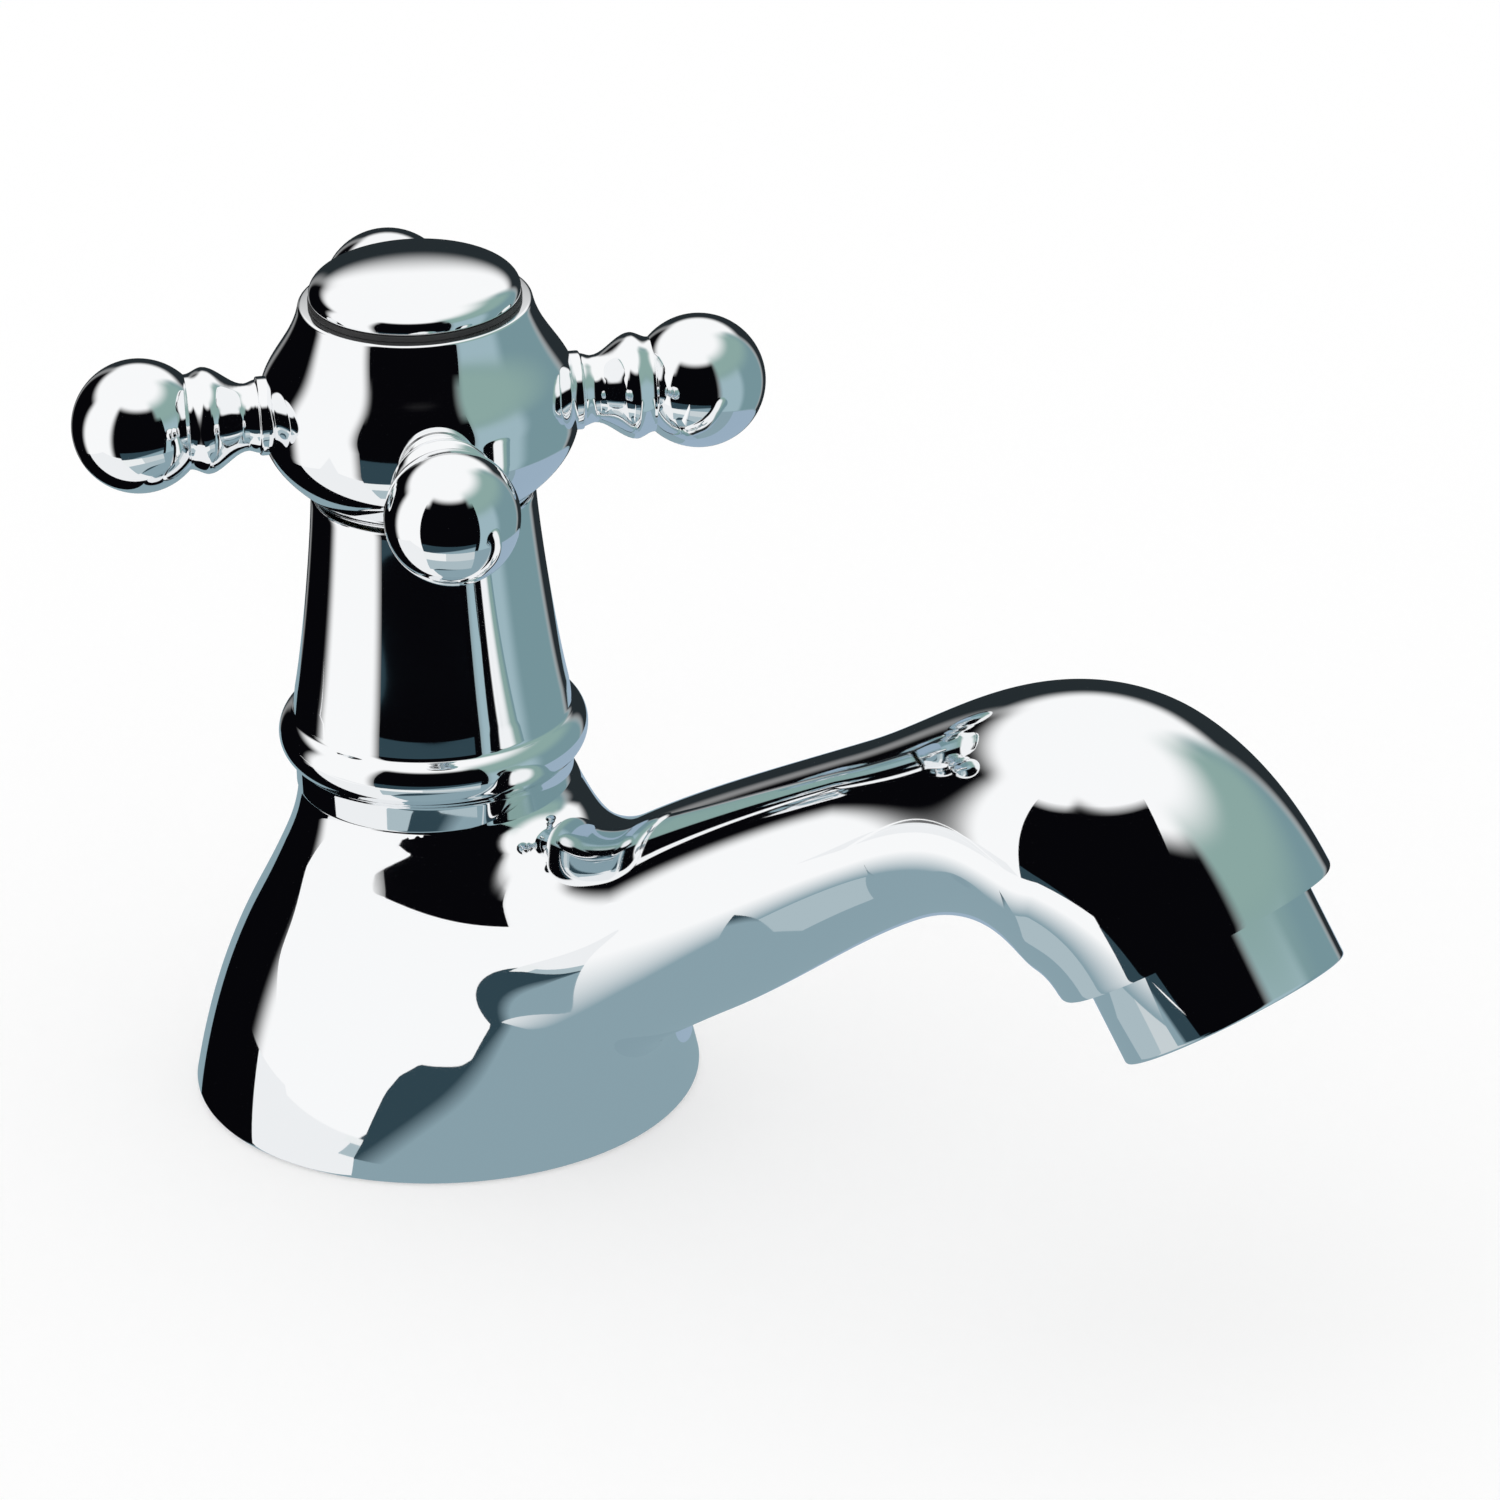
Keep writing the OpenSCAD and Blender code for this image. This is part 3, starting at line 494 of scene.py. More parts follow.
# The skin is made a little too long at the foot, the neck and the mouth, then cut there
spare = 3.0
bell = bezier(bell_line, np.linspace(0, 1, 24))[0]
bm = spun([(0, -spare), (foot_r, -spare), *bell, (neck_r, neck_top + spare), (0, neck_top + spare)])
stations = np.linspace(spout_start, 1.05, 60)
swept(bm, spout_line, spout_radius(stations)[0], stations, 64)
bmesh.ops.recalc_face_normals(bm, faces=bm.faces)
rough = object_of(bm, "rough casting")
skinned = rough.modifiers.new("one skin", "REMESH")
skinned.mode = "VOXEL"
skinned.voxel_size = skin_grain
skin = bpy.data.meshes.new_from_object(rough.evaluated_get(bpy.context.evaluated_depsgraph_get()))
bpy.data.objects.remove(rough)

# Each point of the skin is drawn onto the true surface
points = np.zeros(len(skin.vertices) * 3)
skin.vertices.foreach_get("co", points)
points = points.reshape(-1, 3)
free = (points[:, 2] > foot_ease - 2) & (points[:, 2] < neck_top + 2)
free |= np.abs(points[:, 0]) > foot_r
for _ in range(4):
    depth, way = casting_skin(points[free])
    points[free] -= way * (depth / (way**2).sum(1))[:, None]
skin.vertices.foreach_set("co", points.ravel())
bm = bmesh.new()
bm.from_mesh(skin)

tail_hole_r, rim_r, boss_r, recess = 10.58, 21.5, 14.48, 4.0
mouth_r, bore_r, bore_depth, waterway_r = 14.7, 12.0, 8.5, 4.6
# Cut at the foot, the neck and the mouth, whose edges are then carried round into the inside
mouth = Vector((spout_line[3][0], 0, spout_line[3][1]))
mouth_way = Vector((spout_line[3][0] - spout_line[2][0], 0,
                    spout_line[3][1] - spout_line[2][1])).normalized()
mouth_ease = 0.9
at_mouth = Matrix.Translation(mouth) @ Matrix.Rotation(atan2(mouth_way.x, mouth_way.z), 4, "Y")
cuts = [(Vector((0, 0, foot_ease)), Vector((0, 0, -1)), Matrix(), foot_r, foot_r + 1),
        (Vector((0, 0, neck_top)), Vector((0, 0, 1)), Matrix(), neck_r, neck_r + 3.5),
        (mouth - mouth_way * mouth_ease, mouth_way, at_mouth, mouth_r, mouth_r + 1)]
for at, way, place, _, reach in cuts:
    near = [v for v in bm.verts if ((v.co - at) - way * (v.co - at).dot(way)).length < reach
            and (v.co - at).dot(way) > -2]
    near = {g for v in near for g in (v, *v.link_edges, *v.link_faces)}
    bmesh.ops.bisect_plane(bm, geom=list(near), plane_co=at, plane_no=way, clear_outer=True,
                           dist=1e-4)

seat_r, seat_out_r, seat_top, chamber_floor, chamber_r = 5.0, 7.2, 11.5, 9.0, 9.4
thread_r, thread_end, spigot_r, spigot_top = 10.55, 24.0, 12.3, 36.6
groove_r, groove_low, groove_high = 11.6, 34.65, 35.95
chamber_join = 20.0
quarter = [radians(a) for a in range(15, 91, 15)]
underside = [(foot_r - foot_ease * (1 - cos(a)), foot_ease * (1 - sin(a))) for a in quarter]
underside += [(rim_r, 0), (rim_r, recess), (boss_r, recess), (boss_r, 0), (tail_hole_r, 0),
              (tail_hole_r, 6.5), (seat_r, 6.5), (seat_r, seat_top), (seat_out_r, seat_top),
              (seat_out_r, chamber_floor), (chamber_r, chamber_floor),
              (chamber_r, chamber_join - 1)]
neck_inside = [(spigot_r, neck_top), (spigot_r, groove_low), (groove_r, groove_low),
               (groove_r, groove_high), (spigot_r, groove_high), (spigot_r, spigot_top),
               (thread_r, spigot_top), (thread_r, thread_end), (chamber_r, thread_end),
               (chamber_r, chamber_join)]
mouth_inside = [(mouth_r - mouth_ease * (1 - cos(a)), -mouth_ease * (1 - sin(a))) for a in quarter]
mouth_inside += [(bore_r, 0), (bore_r, -bore_depth), (waterway_r + 1, -bore_depth)]

loops = []
for at, way, place, radius, _ in cuts:
    loops.append(rim(bm, at, way))
    for v in {v for e in loops[-1] for v in e.verts}:
        here = place.inverted() @ v.co
        flat = Vector((here.x, here.y, 0))
        if radius != neck_r:
            flat = flat.normalized() * radius
        v.co = place @ (flat + Vector((0, 0, (place.inverted() @ at).z)))
outside = set(bm.faces)
lower = carried(bm, loops[0], underside)
upper = carried(bm, loops[1], neck_inside)
bmesh.ops.bridge_loops(bm, edges=lower + upper)
core = carried(bm, loops[2], mouth_inside, at_mouth)
bmesh.ops.holes_fill(bm, edges=core)
for face in bm.faces:
    face.material_index = 0 if face in outside else 1
bmesh.ops.recalc_face_normals(bm, faces=bm.faces)


def applied(piece):
    """Makes a piece's modifiers part of its mesh."""
    shown = piece.evaluated_get(bpy.context.evaluated_depsgraph_get())
    piece.data = bpy.data.meshes.new_from_object(shown)
    piece.modifiers.clear()


def cut_away(piece, tool):
    """Cuts one closed shape out of another."""
    cut = piece.modifiers.new("cut", "BOOLEAN")
    cut.operation = "DIFFERENCE"
    cut.solver = "EXACT"
    cut.object = tool
    applied(piece)
    bpy.data.objects.remove(tool)


def finished(piece, *finishes, sharp=34):
    """Brings a piece from millimetres to metres, with its finishes and smooth but for its edges."""
    piece.data.transform(Matrix.Scale(MM, 4))
    piece.data.materials.clear()
    for finish in finishes:
        piece.data.materials.append(finish)
    piece.data.shade_smooth()
    piece.data.set_sharp_from_angle(angle=radians(sharp))
    return piece


def fitted(piece, node, *finishes, sharp=34):
    """Finishes a piece that stands for one solid: the solid is hidden, and the piece rides with its
    body.
    """
    finished(piece, *finishes, sharp=sharp)
    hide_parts(node)
    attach(piece, frame["nodes"][node]["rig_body"])
    return piece


casting = object_of(bm, "tap_casting")
water_from, water_to = 0.105, 0.94
bm = bmesh.new()
stations = np.linspace(water_from, water_to, 40)
swept(bm, spout_line, np.full_like(stations, waterway_r), stations, 32)
bmesh.ops.recalc_face_normals(bm, faces=bm.faces)
cut_away(casting, object_of(bm, "waterway"))


# Polished plate is never quite even: it has a slow ripple, and a haze that comes and goes
polish = bpy.data.node_groups.new("polish", "ShaderNodeTree")
for name in ("Ripple Size", "Haze", "Haze Change"):
    polish.interface.new_socket(name, in_out="INPUT", socket_type="NodeSocketFloat")
polish.interface.new_socket("Grain", in_out="INPUT", socket_type="NodeSocketVector")
for name in ("Roughness", "Height"):
    polish.interface.new_socket(name, in_out="OUTPUT", socket_type="NodeSocketFloat")
given, made = polish.nodes.new("NodeGroupInput").outputs, polish.nodes.new("NodeGroupOutput").inputs
place = polish.nodes.new("ShaderNodeTexCoord").outputs["Object"]
ripple, smear = polish.nodes.new("ShaderNodeTexNoise"), polish.nodes.new("ShaderNodeTexNoise")
drawn = polish.nodes.new("ShaderNodeVectorMath")
drawn.operation = "MULTIPLY"
polish.links.new(place, drawn.inputs[0])
polish.links.new(given["Grain"], drawn.inputs[1])
polish.links.new(drawn.outputs["Vector"], ripple.inputs["Vector"])
polish.links.new(place, smear.inputs["Vector"])
polish.links.new(maths(polish, "DIVIDE", 1.0, given["Ripple Size"]), ripple.inputs["Scale"])
ripple.inputs["Detail"].default_value = 1.0
smear.inputs["Scale"].default_value = 140
smear.inputs["Detail"].default_value = 5.0
polish.links.new(ripple.outputs["Fac"], made["Height"])
haze = maths(polish, "MULTIPLY_ADD", smear.outputs["Fac"], given["Haze Change"], given["Haze"])
polish.links.new(haze, made["Roughness"])


def plated(name, colour=(0.93, 0.94, 0.95), haze=0.015, change=0.03, ripple=0.014, swing=0.000003,
           grain=(1, 1, 1), metal=1):
    """Bright chrome plate over brass, or another finish with other values."""
    finish = bpy.data.materials.new(name)
    finish.use_nodes = True
    nodes, links = finish.node_tree.nodes, finish.node_tree.links
    shader = nodes["Principled BSDF"]
    shader.inputs["Base Color"].default_value = (*colour, 1)
    shader.inputs["Metallic"].default_value = metal
    surface = nodes.new("ShaderNodeGroup")
    surface.node_tree = polish
    for socket, value in (("Ripple Size", ripple), ("Haze", haze), ("Haze Change", change),
                          ("Grain", grain)):
        surface.inputs[socket].default_value = value
    bump = nodes.new("ShaderNodeBump")
    bump.inputs["Distance"].default_value = swing
    links.new(surface.outputs["Height"], bump.inputs["Height"])
    links.new(surface.outputs["Roughness"], shader.inputs["Roughness"])
    links.new(bump.outputs["Normal"], shader.inputs["Normal"])
    return finish


# A cast, turned or moulded surface also shifts in tone from place to place
mottle = bpy.data.node_groups.new("mottle", "ShaderNodeTree")
mottle.interface.new_socket("Patch Size", in_out="INPUT", socket_type="NodeSocketFloat")
mottle.interface.new_socket("Light", in_out="INPUT", socket_type="NodeSocketColor")
mottle.interface.new_socket("Dark", in_out="INPUT", socket_type="NodeSocketColor")
mottle.interface.new_socket("Colour", in_out="OUTPUT", socket_type="NodeSocketColor")
given = mottle.nodes.new("NodeGroupInput").outputs
patches, blend = mottle.nodes.new("ShaderNodeTexNoise"), mottle.nodes.new("ShaderNodeMix")
blend.data_type = "RGBA"
mottle.links.new(mottle.nodes.new("ShaderNodeTexCoord").outputs["Object"], patches.inputs["Vector"])
mottle.links.new(maths(mottle, "DIVIDE", 1.0, given["Patch Size"]), patches.inputs["Scale"])
patches.inputs["Detail"].default_value = 6.0
mottle.links.new(rising(mottle, patches.outputs["Fac"], 0.35, 0.68), blend.inputs["Factor"])
mottle.links.new(given["Light"], blend.inputs["A"])
mottle.links.new(given["Dark"], blend.inputs["B"])
mottle.links.new(blend.outputs["Result"], mottle.nodes.new("NodeGroupOutput").inputs["Colour"])


def toned(name, light, dark, patch=0.003, **surface):
    """A finish whose colour shifts between a light and a dark tone."""
    finish = plated(name, light, **surface)
    nodes, links = finish.node_tree.nodes, finish.node_tree.links
    tone = nodes.new("ShaderNodeGroup")
    tone.node_tree = mottle
    tone.inputs["Patch Size"].default_value = patch
    tone.inputs["Light"].default_value = (*light, 1)
    tone.inputs["Dark"].default_value = (*dark, 1)
    links.new(tone.outputs["Colour"], nodes["Principled BSDF"].inputs["Base Color"])
    return finish


chrome = plated("chrome plate on the casting")
cast_brass = toned("bare cast brass", (0.62, 0.44, 0.20), (0.46, 0.30, 0.12), 0.004,
                   haze=0.32, change=0.3, ripple=0.0009, swing=0.00008)
fitted(casting, "body_casting", chrome, cast_brass)

# The skin is shaded by its true surface, so that reflections run clean over it
mesh = casting.data
normals = np.zeros(len(mesh.loops) * 3)
mesh.corner_normals.foreach_get("vector", normals)
normals = normals.reshape(-1, 3)
corner = np.zeros(len(mesh.loops), int)
mesh.loops.foreach_get("vertex_index", corner)
points = np.zeros(len(mesh.vertices) * 3)
mesh.vertices.foreach_get("co", points)
sides = np.zeros(len(mesh.polygons), int)
mesh.polygons.foreach_get("loop_total", sides)
inner = np.zeros(len(mesh.polygons), int)
mesh.polygons.foreach_get("material_index", inner)
on_skin = np.repeat(inner == 0, sides)
_, way = casting_skin(points.reshape(-1, 3)[corner[on_skin]] / MM)
normals[on_skin] = way / np.linalg.norm(way, axis=1)[:, None]
mesh.normals_split_custom_set(normals)


# ---- Shroud -------------------------------------------------------------------------------------
# A thin chrome plated cover, turned from brass tube, that hides the valve. Its foot has a round
# bead and sits on the neck, and a threaded web inside screws down on the valve's barrel.
shroud_low, shroud_high = (corner.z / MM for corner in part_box("shroud"))
bead_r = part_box("shroud")[1].x / MM
bead_section, bead_z = 2.9, shroud_low + 5.6
shroud_foot_r, shroud_cone_r, shroud_lip_r, shroud_wall = 14.2, 14.0, 11.4, 1.2
cone_low, cone_meets = bead_z + 4.6, 62
web_low, web_high, barrel_r = 56.0, 60.0, 8.7


def arc(centre, radius, start, end, steps=12):
    """Points along an arc, its angles in degrees."""
    angles = np.linspace(radians(start), radians(end), steps + 1)
    return [(centre[0] + radius * cos(a), centre[1] + radius * sin(a)) for a in angles]


def curve(handles, steps=24):
    """Points along a curve with four handles."""
    return [tuple(p) for p in bezier(handles, np.linspace(0, 1, steps + 1))[0]]


def eased(outline, reach, sharpest=24, steps=6):
    """An outline with each of its corners rounded off over a short reach on both sides."""
    outline = [Vector(p) for p in outline]
    line = [p for i, p in enumerate(outline) if i == 0 or (p - outline[i - 1]).length > 1e-4]
    walk = [0.0]
    for a, b in zip(line, line[1:]):
        walk.append(walk[-1] + (b - a).length)
    corners = [i for i in range(1, len(line) - 1)
               if degrees((line[i] - line[i - 1]).angle(line[i + 1] - line[i])) > sharpest]

    def at(distance):
        i = min(max(np.searchsorted(walk, distance) - 1, 0), len(line) - 2)
        return line[i].lerp(line[i + 1], (distance - walk[i]) / (walk[i + 1] - walk[i]))

    stops = [0.0, *(walk[i] for i in corners), walk[-1]]
    made, done = [line[0]], 0.0
    for k, i in enumerate(corners, 1):
        back = min(reach, 0.45 * (stops[k] - stops[k - 1]))
        ahead = min(reach, 0.45 * (stops[k + 1] - stops[k]))
        start, end = at(walk[i] - back), at(walk[i] + ahead)
        made += [p for p, w in zip(line, walk) if done < w < walk[i] - back - 1e-6]
        for s in (j / steps for j in range(steps + 1)):
            made.append(start.lerp(line[i], s).lerp(line[i].lerp(end, s), s))
        done = walk[i] + ahead + 1e-6
    return made + [p for p, w in zip(line, walk) if w > done]


foot_meets = degrees(-np.arccos((shroud_foot_r - bead_r + bead_section) / bead_section))
bead = arc((bead_r - bead_section, bead_z), bead_section, foot_meets, cone_meets, 28)
outer = [(shroud_foot_r, shroud_low), *bead]
outer += curve([(shroud_cone_r, cone_low), (shroud_cone_r - 1, cone_low + 5),
                (shroud_lip_r + 0.3, shroud_high - 6), (shroud_lip_r, shroud_high)])
foot_bore_r, lip_bore_r = shroud_foot_r - shroud_wall, shroud_lip_r - shroud_wall
inner = [(lip_bore_r, shroud_high), (lip_bore_r, web_high), (barrel_r, web_high),
         (barrel_r, web_low), (lip_bore_r + 0.6, web_low), (foot_bore_r, bead_z + bead_section),
         (foot_bore_r, shroud_low)]
start = (foot_bore_r, shroud_low + 0.5)
bm = spun(eased([start, inner[-1], *outer, *inner[:-1], start], 0.35), 160)
turned_chrome = plated("chrome plate on turned brass", ripple=0.02, swing=0.000002)
fitted(object_of(bm, "valve_shroud"), "shroud", turned_chrome)


# ---- Handle hub ---------------------------------------------------------------------------------
# A chrome plated brass hub, turned on a lathe and drilled for four arms. It is bored from above for
# the screw that holds it to the spindle, and the cap closes that bore.
hub_low, hub_high = (corner.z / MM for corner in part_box("handle_hub"))
hub_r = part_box("handle_hub")[1].x / MM
arm_z = hub_low + 8.9
hub_foot_r, hub_lip_r, relief_r, relief_z, insert_r, web_z = 11.5, 11.8, 9.0, 69.0, 7.05, 80.2
cap_bore_r, web_top, screw_r = 9.0, 81.8, 2.3
outer = [(hub_foot_r, hub_low)]
outer += curve([(hub_foot_r, hub_low + 0.3), (hub_foot_r + 2.1, hub_low + 2.1),
                (hub_r, arm_z - 4.7), (hub_r, arm_z - 1.25)])
outer += curve([(hub_r, arm_z + 1.25), (hub_r, arm_z + 4.7), (hub_lip_r + 0.8, hub_high - 4.7),
                (hub_lip_r, hub_high)])
inner = [(cap_bore_r, hub_high), (cap_bore_r, web_top), (screw_r, web_top), (screw_r, web_z),
         (insert_r, web_z), (insert_r, relief_z), (relief_r, relief_z)]
start = (relief_r, hub_low + 0.8)
bm = spun(eased([start, (relief_r, hub_low), *outer, *inner, start], 0.3), 160)
fitted(object_of(bm, "hub"), "handle_hub", turned_chrome)


# ---- Handle arms --------------------------------------------------------------------------------
# Four turned and plated arms, each with a threaded stub in the hub, a slim neck, a round bead and a
# ball. They are the same piece four times.
arm_seat, ball_x, ball_r = 15.2, 28.4, 6.8
stub_r, stub_len, arm_foot_r, arm_neck_r, arm_bead_r, arm_waist_r = 2.5, 4.5, 4.0, 3.4, 5.4, 4.8
bead_x, waist_x = ball_x - 6.7, ball_x - 4.2
foot_x = arm_seat + 1.2


def swelled(stations, steps=10):
    """An outline whose radius goes smoothly from each (place, radius) station to the next."""
    made = []
    for (x0, r0), (x1, r1) in zip(stations, stations[1:]):
        for s in (k / steps for k in range(steps)):
            made.append((r0 + (r1 - r0) * s * s * (3 - 2 * s), x0 + (x1 - x0) * s))
    return made


ball_meets = degrees(-np.arccos(arm_waist_r / ball_r))
shape = [(0, arm_seat - stub_len), (stub_r, arm_seat - stub_len), (stub_r, arm_seat),
         (arm_foot_r, arm_seat), (arm_foot_r, foot_x), (arm_neck_r + 0.3, foot_x)]
shape += swelled([(foot_x, arm_neck_r + 0.3), (arm_seat + 2.4, arm_neck_r), (bead_x, arm_bead_r),
                  (waist_x - 0.7, arm_waist_r), (waist_x - 0.6, arm_waist_r)])
shape += arc((0, ball_x), ball_r, ball_meets, 90, 40)
for number in range(1, 5):
    bm = spun(eased(shape, 0.25), 72)
    turn = Matrix.Translation((0, 0, arm_z)) @ Matrix.Rotation(radians(90 * number - 45), 4, "Z")
    bmesh.ops.transform(bm, matrix=turn @ Matrix.Rotation(pi / 2, 4, "Y"), verts=bm.verts)
    fitted(object_of(bm, f"ball_arm_{number}"), f"handle_arm_{number}", turned_chrome)


# ---- Cap ----------------------------------------------------------------------------------------
# A plain domed and plated cap that screws into the hub over a black ring.
ring_low, ring_high = (corner.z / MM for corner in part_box("cap_ring"))
cap_r, cap_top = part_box("domed_cap")[1].x / MM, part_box("domed_cap")[1].z / MM
cap_skirt_r, cap_skirt_low, cap_wall = 8.9, hub_high - 4.4, 1.5
dome = curve([(cap_r, ring_high + 0.5), (cap_r, ring_high + 2.5), (cap_r * 0.57, cap_top),
              (0, cap_top)], 32)
cap_inner_r = cap_skirt_r - cap_wall
outline = [(0, ring_high), (cap_inner_r, ring_high), (cap_inner_r, cap_skirt_low),
           (cap_skirt_r, cap_skirt_low), (cap_skirt_r, ring_high), (cap_r, ring_high)]
bm = spun(eased(outline + dome, 0.3), 160)
fitted(object_of(bm, "dome_cap"), "domed_cap", turned_chrome)

rubber = toned("black rubber", (0.030, 0.030, 0.031), (0.014, 0.014, 0.015), 0.005,
               haze=0.42, change=0.3, ripple=0.0004, swing=0.00002, metal=0)
ring_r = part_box("cap_ring")[1].x / MM
start = (ring_r - 1, ring_low)
bm = spun(eased([start, (ring_r, ring_low), (ring_r, ring_high), (cap_skirt_r + 0.1, ring_high),
                 (cap_skirt_r + 0.1, ring_low), start], 0.15), 128)
fitted(object_of(bm, "cap_seal"), "cap_ring", rubber)


# ---- Nozzle -------------------------------------------------------------------------------------
# The aerator's chrome plated shell screws into the mouth. It holds a white plastic cartridge with
# two rings of jets, and a wire screen that its lip keeps in.
nozzle_r, nozzle_len, nozzle_screwed, nozzle_bore_r, lip_r, lip_t = 11.9, 8.0, 7.0, 10.6, 9.4, 1.4
start = (nozzle_bore_r, 0)
outline = [start, (nozzle_bore_r, -nozzle_screwed), (nozzle_r, -nozzle_screwed),
           (nozzle_r, nozzle_len), (lip_r, nozzle_len), (lip_r, nozzle_len - lip_t),
           (nozzle_bore_r, nozzle_len - lip_t), start]
bm = spun(eased(outline, 0.4), 160)
bmesh.ops.transform(bm, matrix=at_mouth, verts=bm.verts)
fitted(object_of(bm, "nozzle"), "nozzle_shell", turned_chrome)


def band(inside, outside, low, high, ease, steps=96):
    """A flat ring with eased edges."""
    corners = [(inside, low), (outside, low), (outside, high), (inside, high), (inside, low)]
    return spun(eased(corners, ease), steps)


def piece_of(node):
    """A solid's own mesh in millimetres, with its triangles joined and its flat faces whole."""
    bm = bmesh.new()
    bm.from_mesh(frame["nodes"][node].data)
    bmesh.ops.transform(bm, matrix=Matrix.Scale(1 / MM, 4), verts=bm.verts)
    bmesh.ops.remove_doubles(bm, verts=bm.verts, dist=1e-3)
    bmesh.ops.dissolve_limit(bm, angle_limit=radians(0.5), verts=bm.verts, edges=bm.edges,
                             use_dissolve_boundaries=False)
    return bm


def broken(bm, width=0.12, sharpest=40):
    """Takes the sharpness off a piece's edges, as tumbling or a file does."""
    edges = [e for e in bm.edges
             if e.is_manifold and e.is_convex and e.calc_face_angle() > radians(sharpest)]
    bmesh.ops.bevel(bm, geom=edges, offset=width, offset_type="OFFSET", segments=2, profile=0.5,
                    affect="EDGES", clamp_overlap=True, material=-1)
    return bm


def screw_cut(piece, low, high, crest, depth, lead, starts=1, hand=1, steps=48):
    """Cuts a V thread round a piece in millimetres, between two heights. A negative depth cuts it
    into a bore, and a hand of -1 makes it left-handed."""
    pitch, turns = lead / starts, (high - low) / lead
    section = [(crest + 0.12 * depth, -0.47 * pitch), (crest - depth, -0.06 * pitch),
               (crest - depth, 0.06 * pitch), (crest + 0.12 * depth, 0.47 * pitch)]
    for start in range(starts):
        bm = bmesh.new()
        ring = [bm.verts.new((r, 0, low + z)) for r, z in section]
        edges = [bm.edges.new((a, b)) for a, b in zip(ring, ring[1:] + ring[:1])]
        bmesh.ops.spin(bm, geom=ring + edges, cent=(0, 0, 0), axis=(0, 0, 1),
                       dvec=(0, 0, lead / steps), angle=2 * pi * turns * hand,
                       steps=round(steps * turns))
        bmesh.ops.holes_fill(bm, edges=[e for e in bm.edges if e.is_boundary])
        turned = Matrix.Rotation(2 * pi * start / starts, 3, "Z")
        bmesh.ops.rotate(bm, verts=bm.verts, matrix=turned)
        bmesh.ops.recalc_face_normals(bm, faces=bm.faces)
        cut_away(piece, object_of(bm, "thread cutter"))


turned_brass = toned("turned brass", (0.80, 0.61, 0.30), (0.70, 0.50, 0.22), 0.006,
                     haze=0.12, change=0.22, ripple=0.00022, swing=0.0000025, grain=(0.03, 0.03, 1))
nylon = toned("white nylon", (0.80, 0.80, 0.76), (0.70, 0.70, 0.65), 0.004,
              haze=0.3, change=0.2, ripple=0.0015, swing=0.000012, metal=0)
zinc = toned("zinc plated steel", (0.66, 0.68, 0.70), (0.55, 0.56, 0.52), 0.0035,
             haze=0.2, change=0.25, ripple=0.0006, swing=0.000006)
wire = toned("stainless wire", (0.60, 0.61, 0.61), (0.46, 0.46, 0.45), 0.0012,
             haze=0.2, change=0.2, ripple=0.0003, swing=0.000002)

washer_from, washer_to, washer_in, washer_out = -8.5, -7.1, 8.1, 11.8
bm = band(washer_in, washer_out, washer_from, washer_to, 0.3)
bmesh.ops.transform(bm, matrix=at_mouth, verts=bm.verts)
fitted(object_of(bm, "nozzle_seal"), "nozzle_washer", rubber)

fitted(object_of(broken(piece_of("aerator_cartridge"), 0.08), "aerator_insert"),
       "aerator_cartridge", nylon)

# The screen is woven from two sets of wires that pass over and under each other
screen_low, screen_high = 6.1, 6.6
screen_r, screen_rim, wire_gap, wire_r, wire_anchor = 10.5, 9.7, 0.75, 0.11, 0.3
bm = band(screen_rim, screen_r, screen_low, screen_high, 0.08)
middle, across = (screen_low + screen_high) / 2, int(screen_rim / wire_gap)
for number in range(-across, across + 1):
    reach = sqrt((screen_rim + wire_anchor) ** 2 - (number * wire_gap) ** 2)
    for lay in (1, -1):
        strand, loop = bmesh.new(), []
        for x in np.linspace(-reach, reach, round(4 * reach / wire_gap) + 1):
            wave = lay * wire_r * cos(pi * x / wire_gap) * (1 if number % 2 else -1)
            at = (Matrix.Translation((x, number * wire_gap, middle + wave))
                  @ Matrix.Rotation(pi / 2, 4, "Y"))
            ring = bmesh.ops.create_circle(strand, segments=6, radius=wire_r * 0.9,
                                           matrix=at)["verts"]
            edges = list({e for v in ring for e in v.link_edges})
            if loop:
                bmesh.ops.bridge_loops(strand, edges=loop + edges)
            loop = edges
        bmesh.ops.holes_fill(strand, edges=[e for e in strand.edges if e.is_boundary])
        bmesh.ops.recalc_face_normals(strand, faces=strand.faces)
        if lay < 0:
            bmesh.ops.transform(strand, matrix=Matrix.Rotation(pi / 2, 4, "Z"), verts=strand.verts)
        drawn_wire = bpy.data.meshes.new("wire")
        strand.to_mesh(drawn_wire)
        strand.free()
        bm.from_mesh(drawn_wire)
        bpy.data.meshes.remove(drawn_wire)
bmesh.ops.transform(bm, matrix=at_mouth, verts=bm.verts)
fitted(object_of(bm, "woven_screen"), "aerator_screen", wire)


# ---- Valve --------------------------------------------------------------------------------------
# A brass compression valve with a spindle that turns but doesn't rise. Its bonnet screws into the
# neck on a rubber seal, and its left-handed screw lifts a carrier with the rubber tap washer.
inch_pitch = 1.814
bonnet = object_of(piece_of("valve_bonnet"), "bonnet")
screw_cut(bonnet, low=25.2, high=36.2, crest=10.45, depth=0.8, lead=inch_pitch)
fitted(bonnet, "valve_bonnet", turned_brass)

for node, name, inside, finish, ease in [("bonnet_seal", "bonnet_washer", 10.55, rubber, 0.2),
                                         ("thrust_washer", "thrust_ring", 4.6, nylon, 0.12),
                                         ("jumper_washer", "tap_washer", 2.05, rubber, 0.35)]:
    low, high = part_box(node)
    bm = band(inside, high.x / MM, low.z / MM, high.z / MM, ease)
    fitted(object_of(bm, name), node, finish)

spindle = object_of(piece_of("spindle"), "splined_spindle")
screw_cut(spindle, low=21.0, high=32.0, crest=4.0, depth=0.5, lead=2.0, starts=2, hand=-1)
fitted(spindle, "spindle", turned_brass)

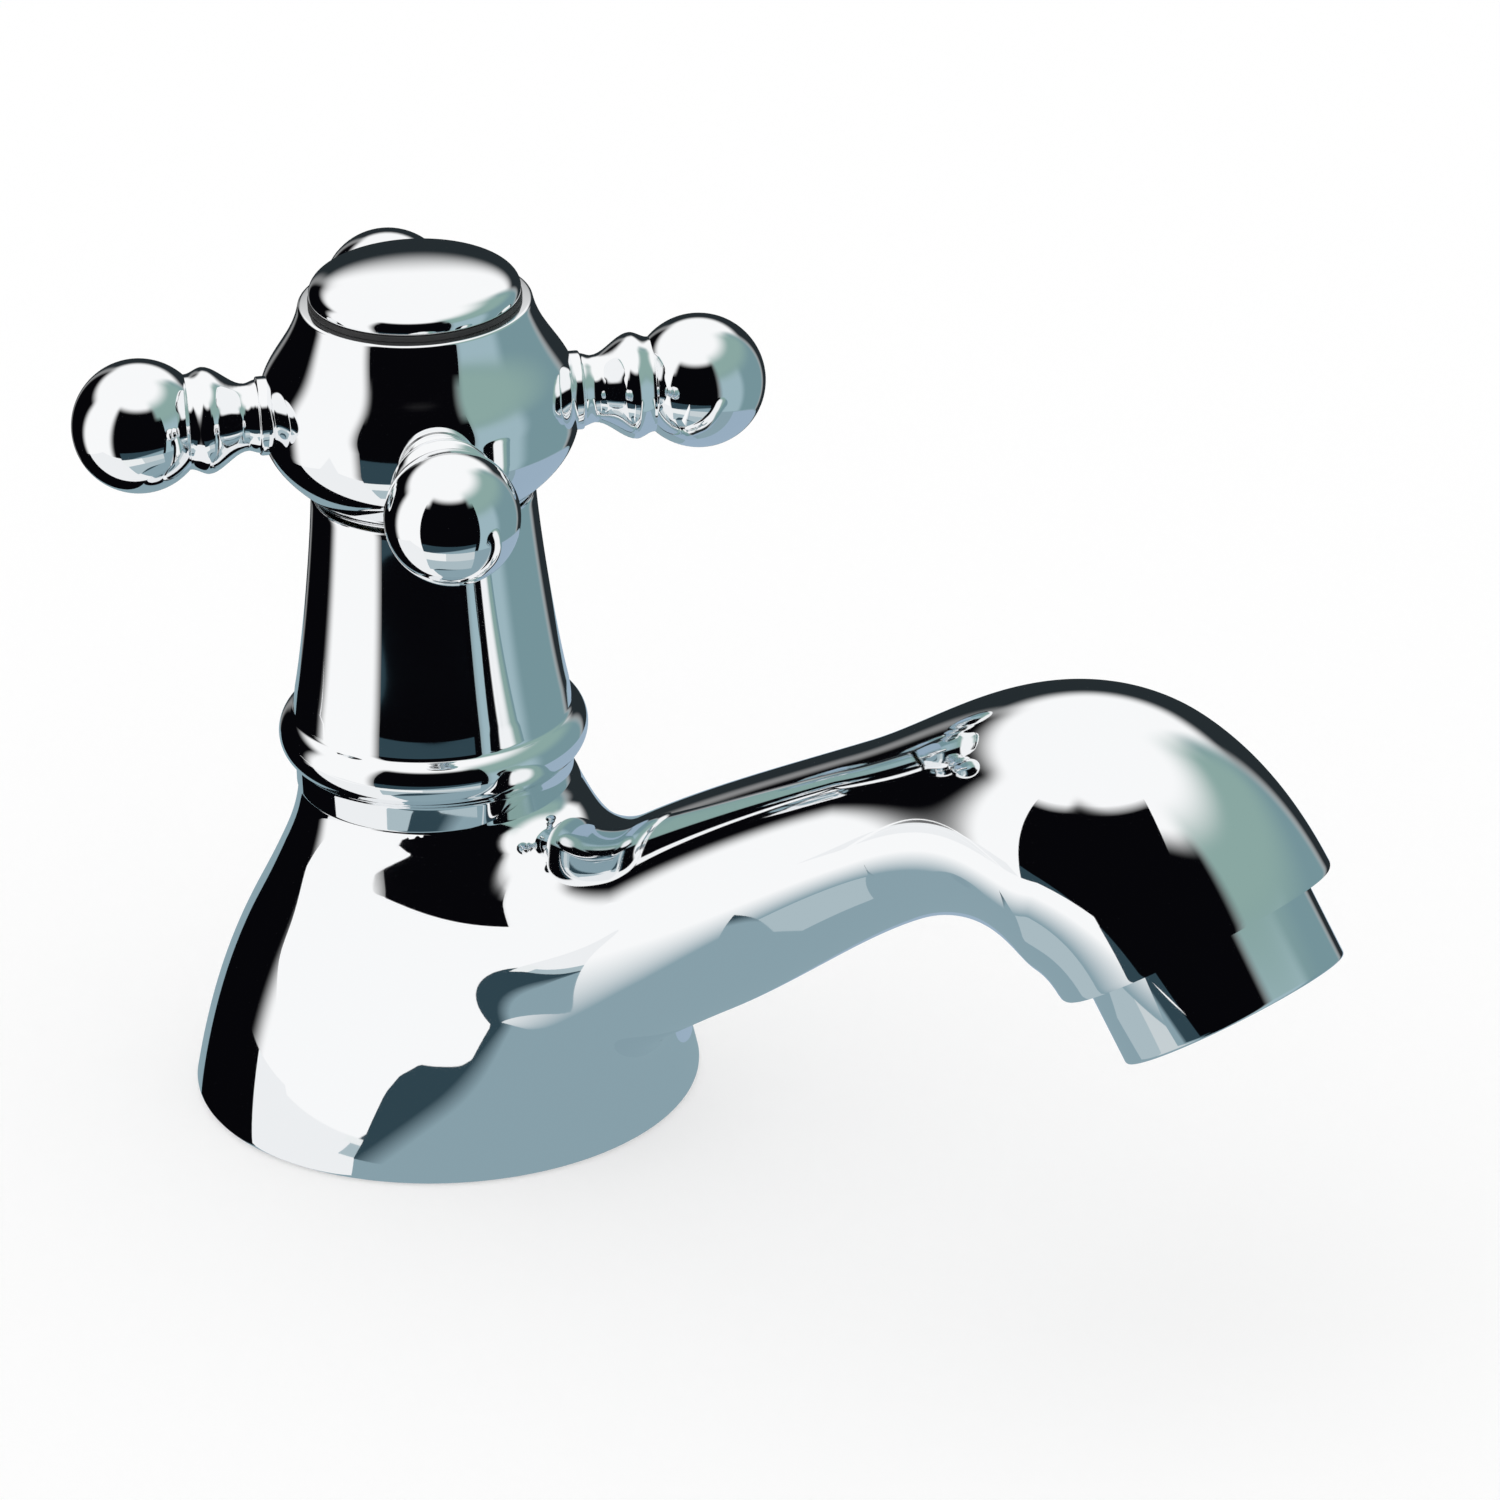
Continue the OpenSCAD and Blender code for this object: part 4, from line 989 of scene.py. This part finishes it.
o_ring_section = 0.6
for node, name, heights in [("spindle_o_rings", "spindle_rings", (45.4, 49.4)),
                            ("shroud_o_ring", "shroud_ring", (35.3,))]:
    ring_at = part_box(node)[1].x / MM - o_ring_section
    bm = bmesh.new()
    for height in heights:
        at = Matrix.Translation((ring_at, 0, height)) @ Matrix.Rotation(pi / 2, 4, "X")
        circle = bmesh.ops.create_circle(bm, segments=20, radius=o_ring_section, matrix=at)["verts"]
        edges = list({e for v in circle for e in v.link_edges})
        bmesh.ops.spin(bm, geom=circle + edges, cent=(0, 0, 0), axis=(0, 0, 1), dvec=(0, 0, 0),
                       angle=2 * pi, steps=96, use_merge=True)
    bmesh.ops.remove_doubles(bm, verts=bm.verts, dist=1e-4)
    bmesh.ops.recalc_face_normals(bm, faces=bm.faces)
    fitted(object_of(bm, name), node, rubber)

fitted(object_of(broken(piece_of("spindle_circlip"), 0.08), "circlip"), "spindle_circlip", zinc)
fitted(object_of(broken(piece_of("jumper_carrier")), "carrier"), "jumper_carrier", turned_brass)
fitted(object_of(broken(piece_of("jumper_nut")), "washer_nut"), "jumper_nut", turned_brass)


# ---- Handle fixing ------------------------------------------------------------------------------
# A splined nylon insert sits between the spindle and the hub, and a zinc plated screw with a cross
# slot, under the cap, draws the handle down on them.
fitted(object_of(broken(piece_of("hub_insert"), 0.08), "spline_insert"), "hub_insert", nylon)
screw = object_of(piece_of("handle_screw"), "hub_screw")
screw_cut(screw, low=69.0, high=80.0, crest=2.0, depth=0.4, lead=0.7, steps=32)
fitted(screw, "handle_screw", zinc)


# ---- Fixings below the deck ---------------------------------------------------------------------
# A brass tail with a half-inch pipe thread goes down through the deck. A rubber gasket in the foot,
# a rubber and a zinc plated washer below the deck and a hexagon backnut clamp the tap there.
tail = object_of(piece_of("inlet_tail"), "threaded_tail")
screw_cut(tail, low=-51.5, high=-1.0, crest=10.4775, depth=1.1, lead=inch_pitch)
fitted(tail, "inlet_tail", turned_brass)

for node, name, inside, finish, ease in [("foot_gasket", "foot_seal", 14.78, rubber, 0.5),
                                         ("under_deck_washer", "deck_seal", 10.78, rubber, 0.5),
                                         ("clamp_washer", "clamp_plate", 10.78, zinc, 0.25)]:
    low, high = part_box(node)
    bm = band(inside, high.x / MM, low.z / MM, high.z / MM, ease, 128)
    fitted(object_of(bm, name), node, finish)

backnut = object_of(broken(piece_of("backnut"), 0.2), "deck_nut")
screw_cut(backnut, low=-28.4, high=-19.6, crest=10.5775, depth=-1.0, lead=inch_pitch)
fitted(backnut, "backnut", turned_brass)
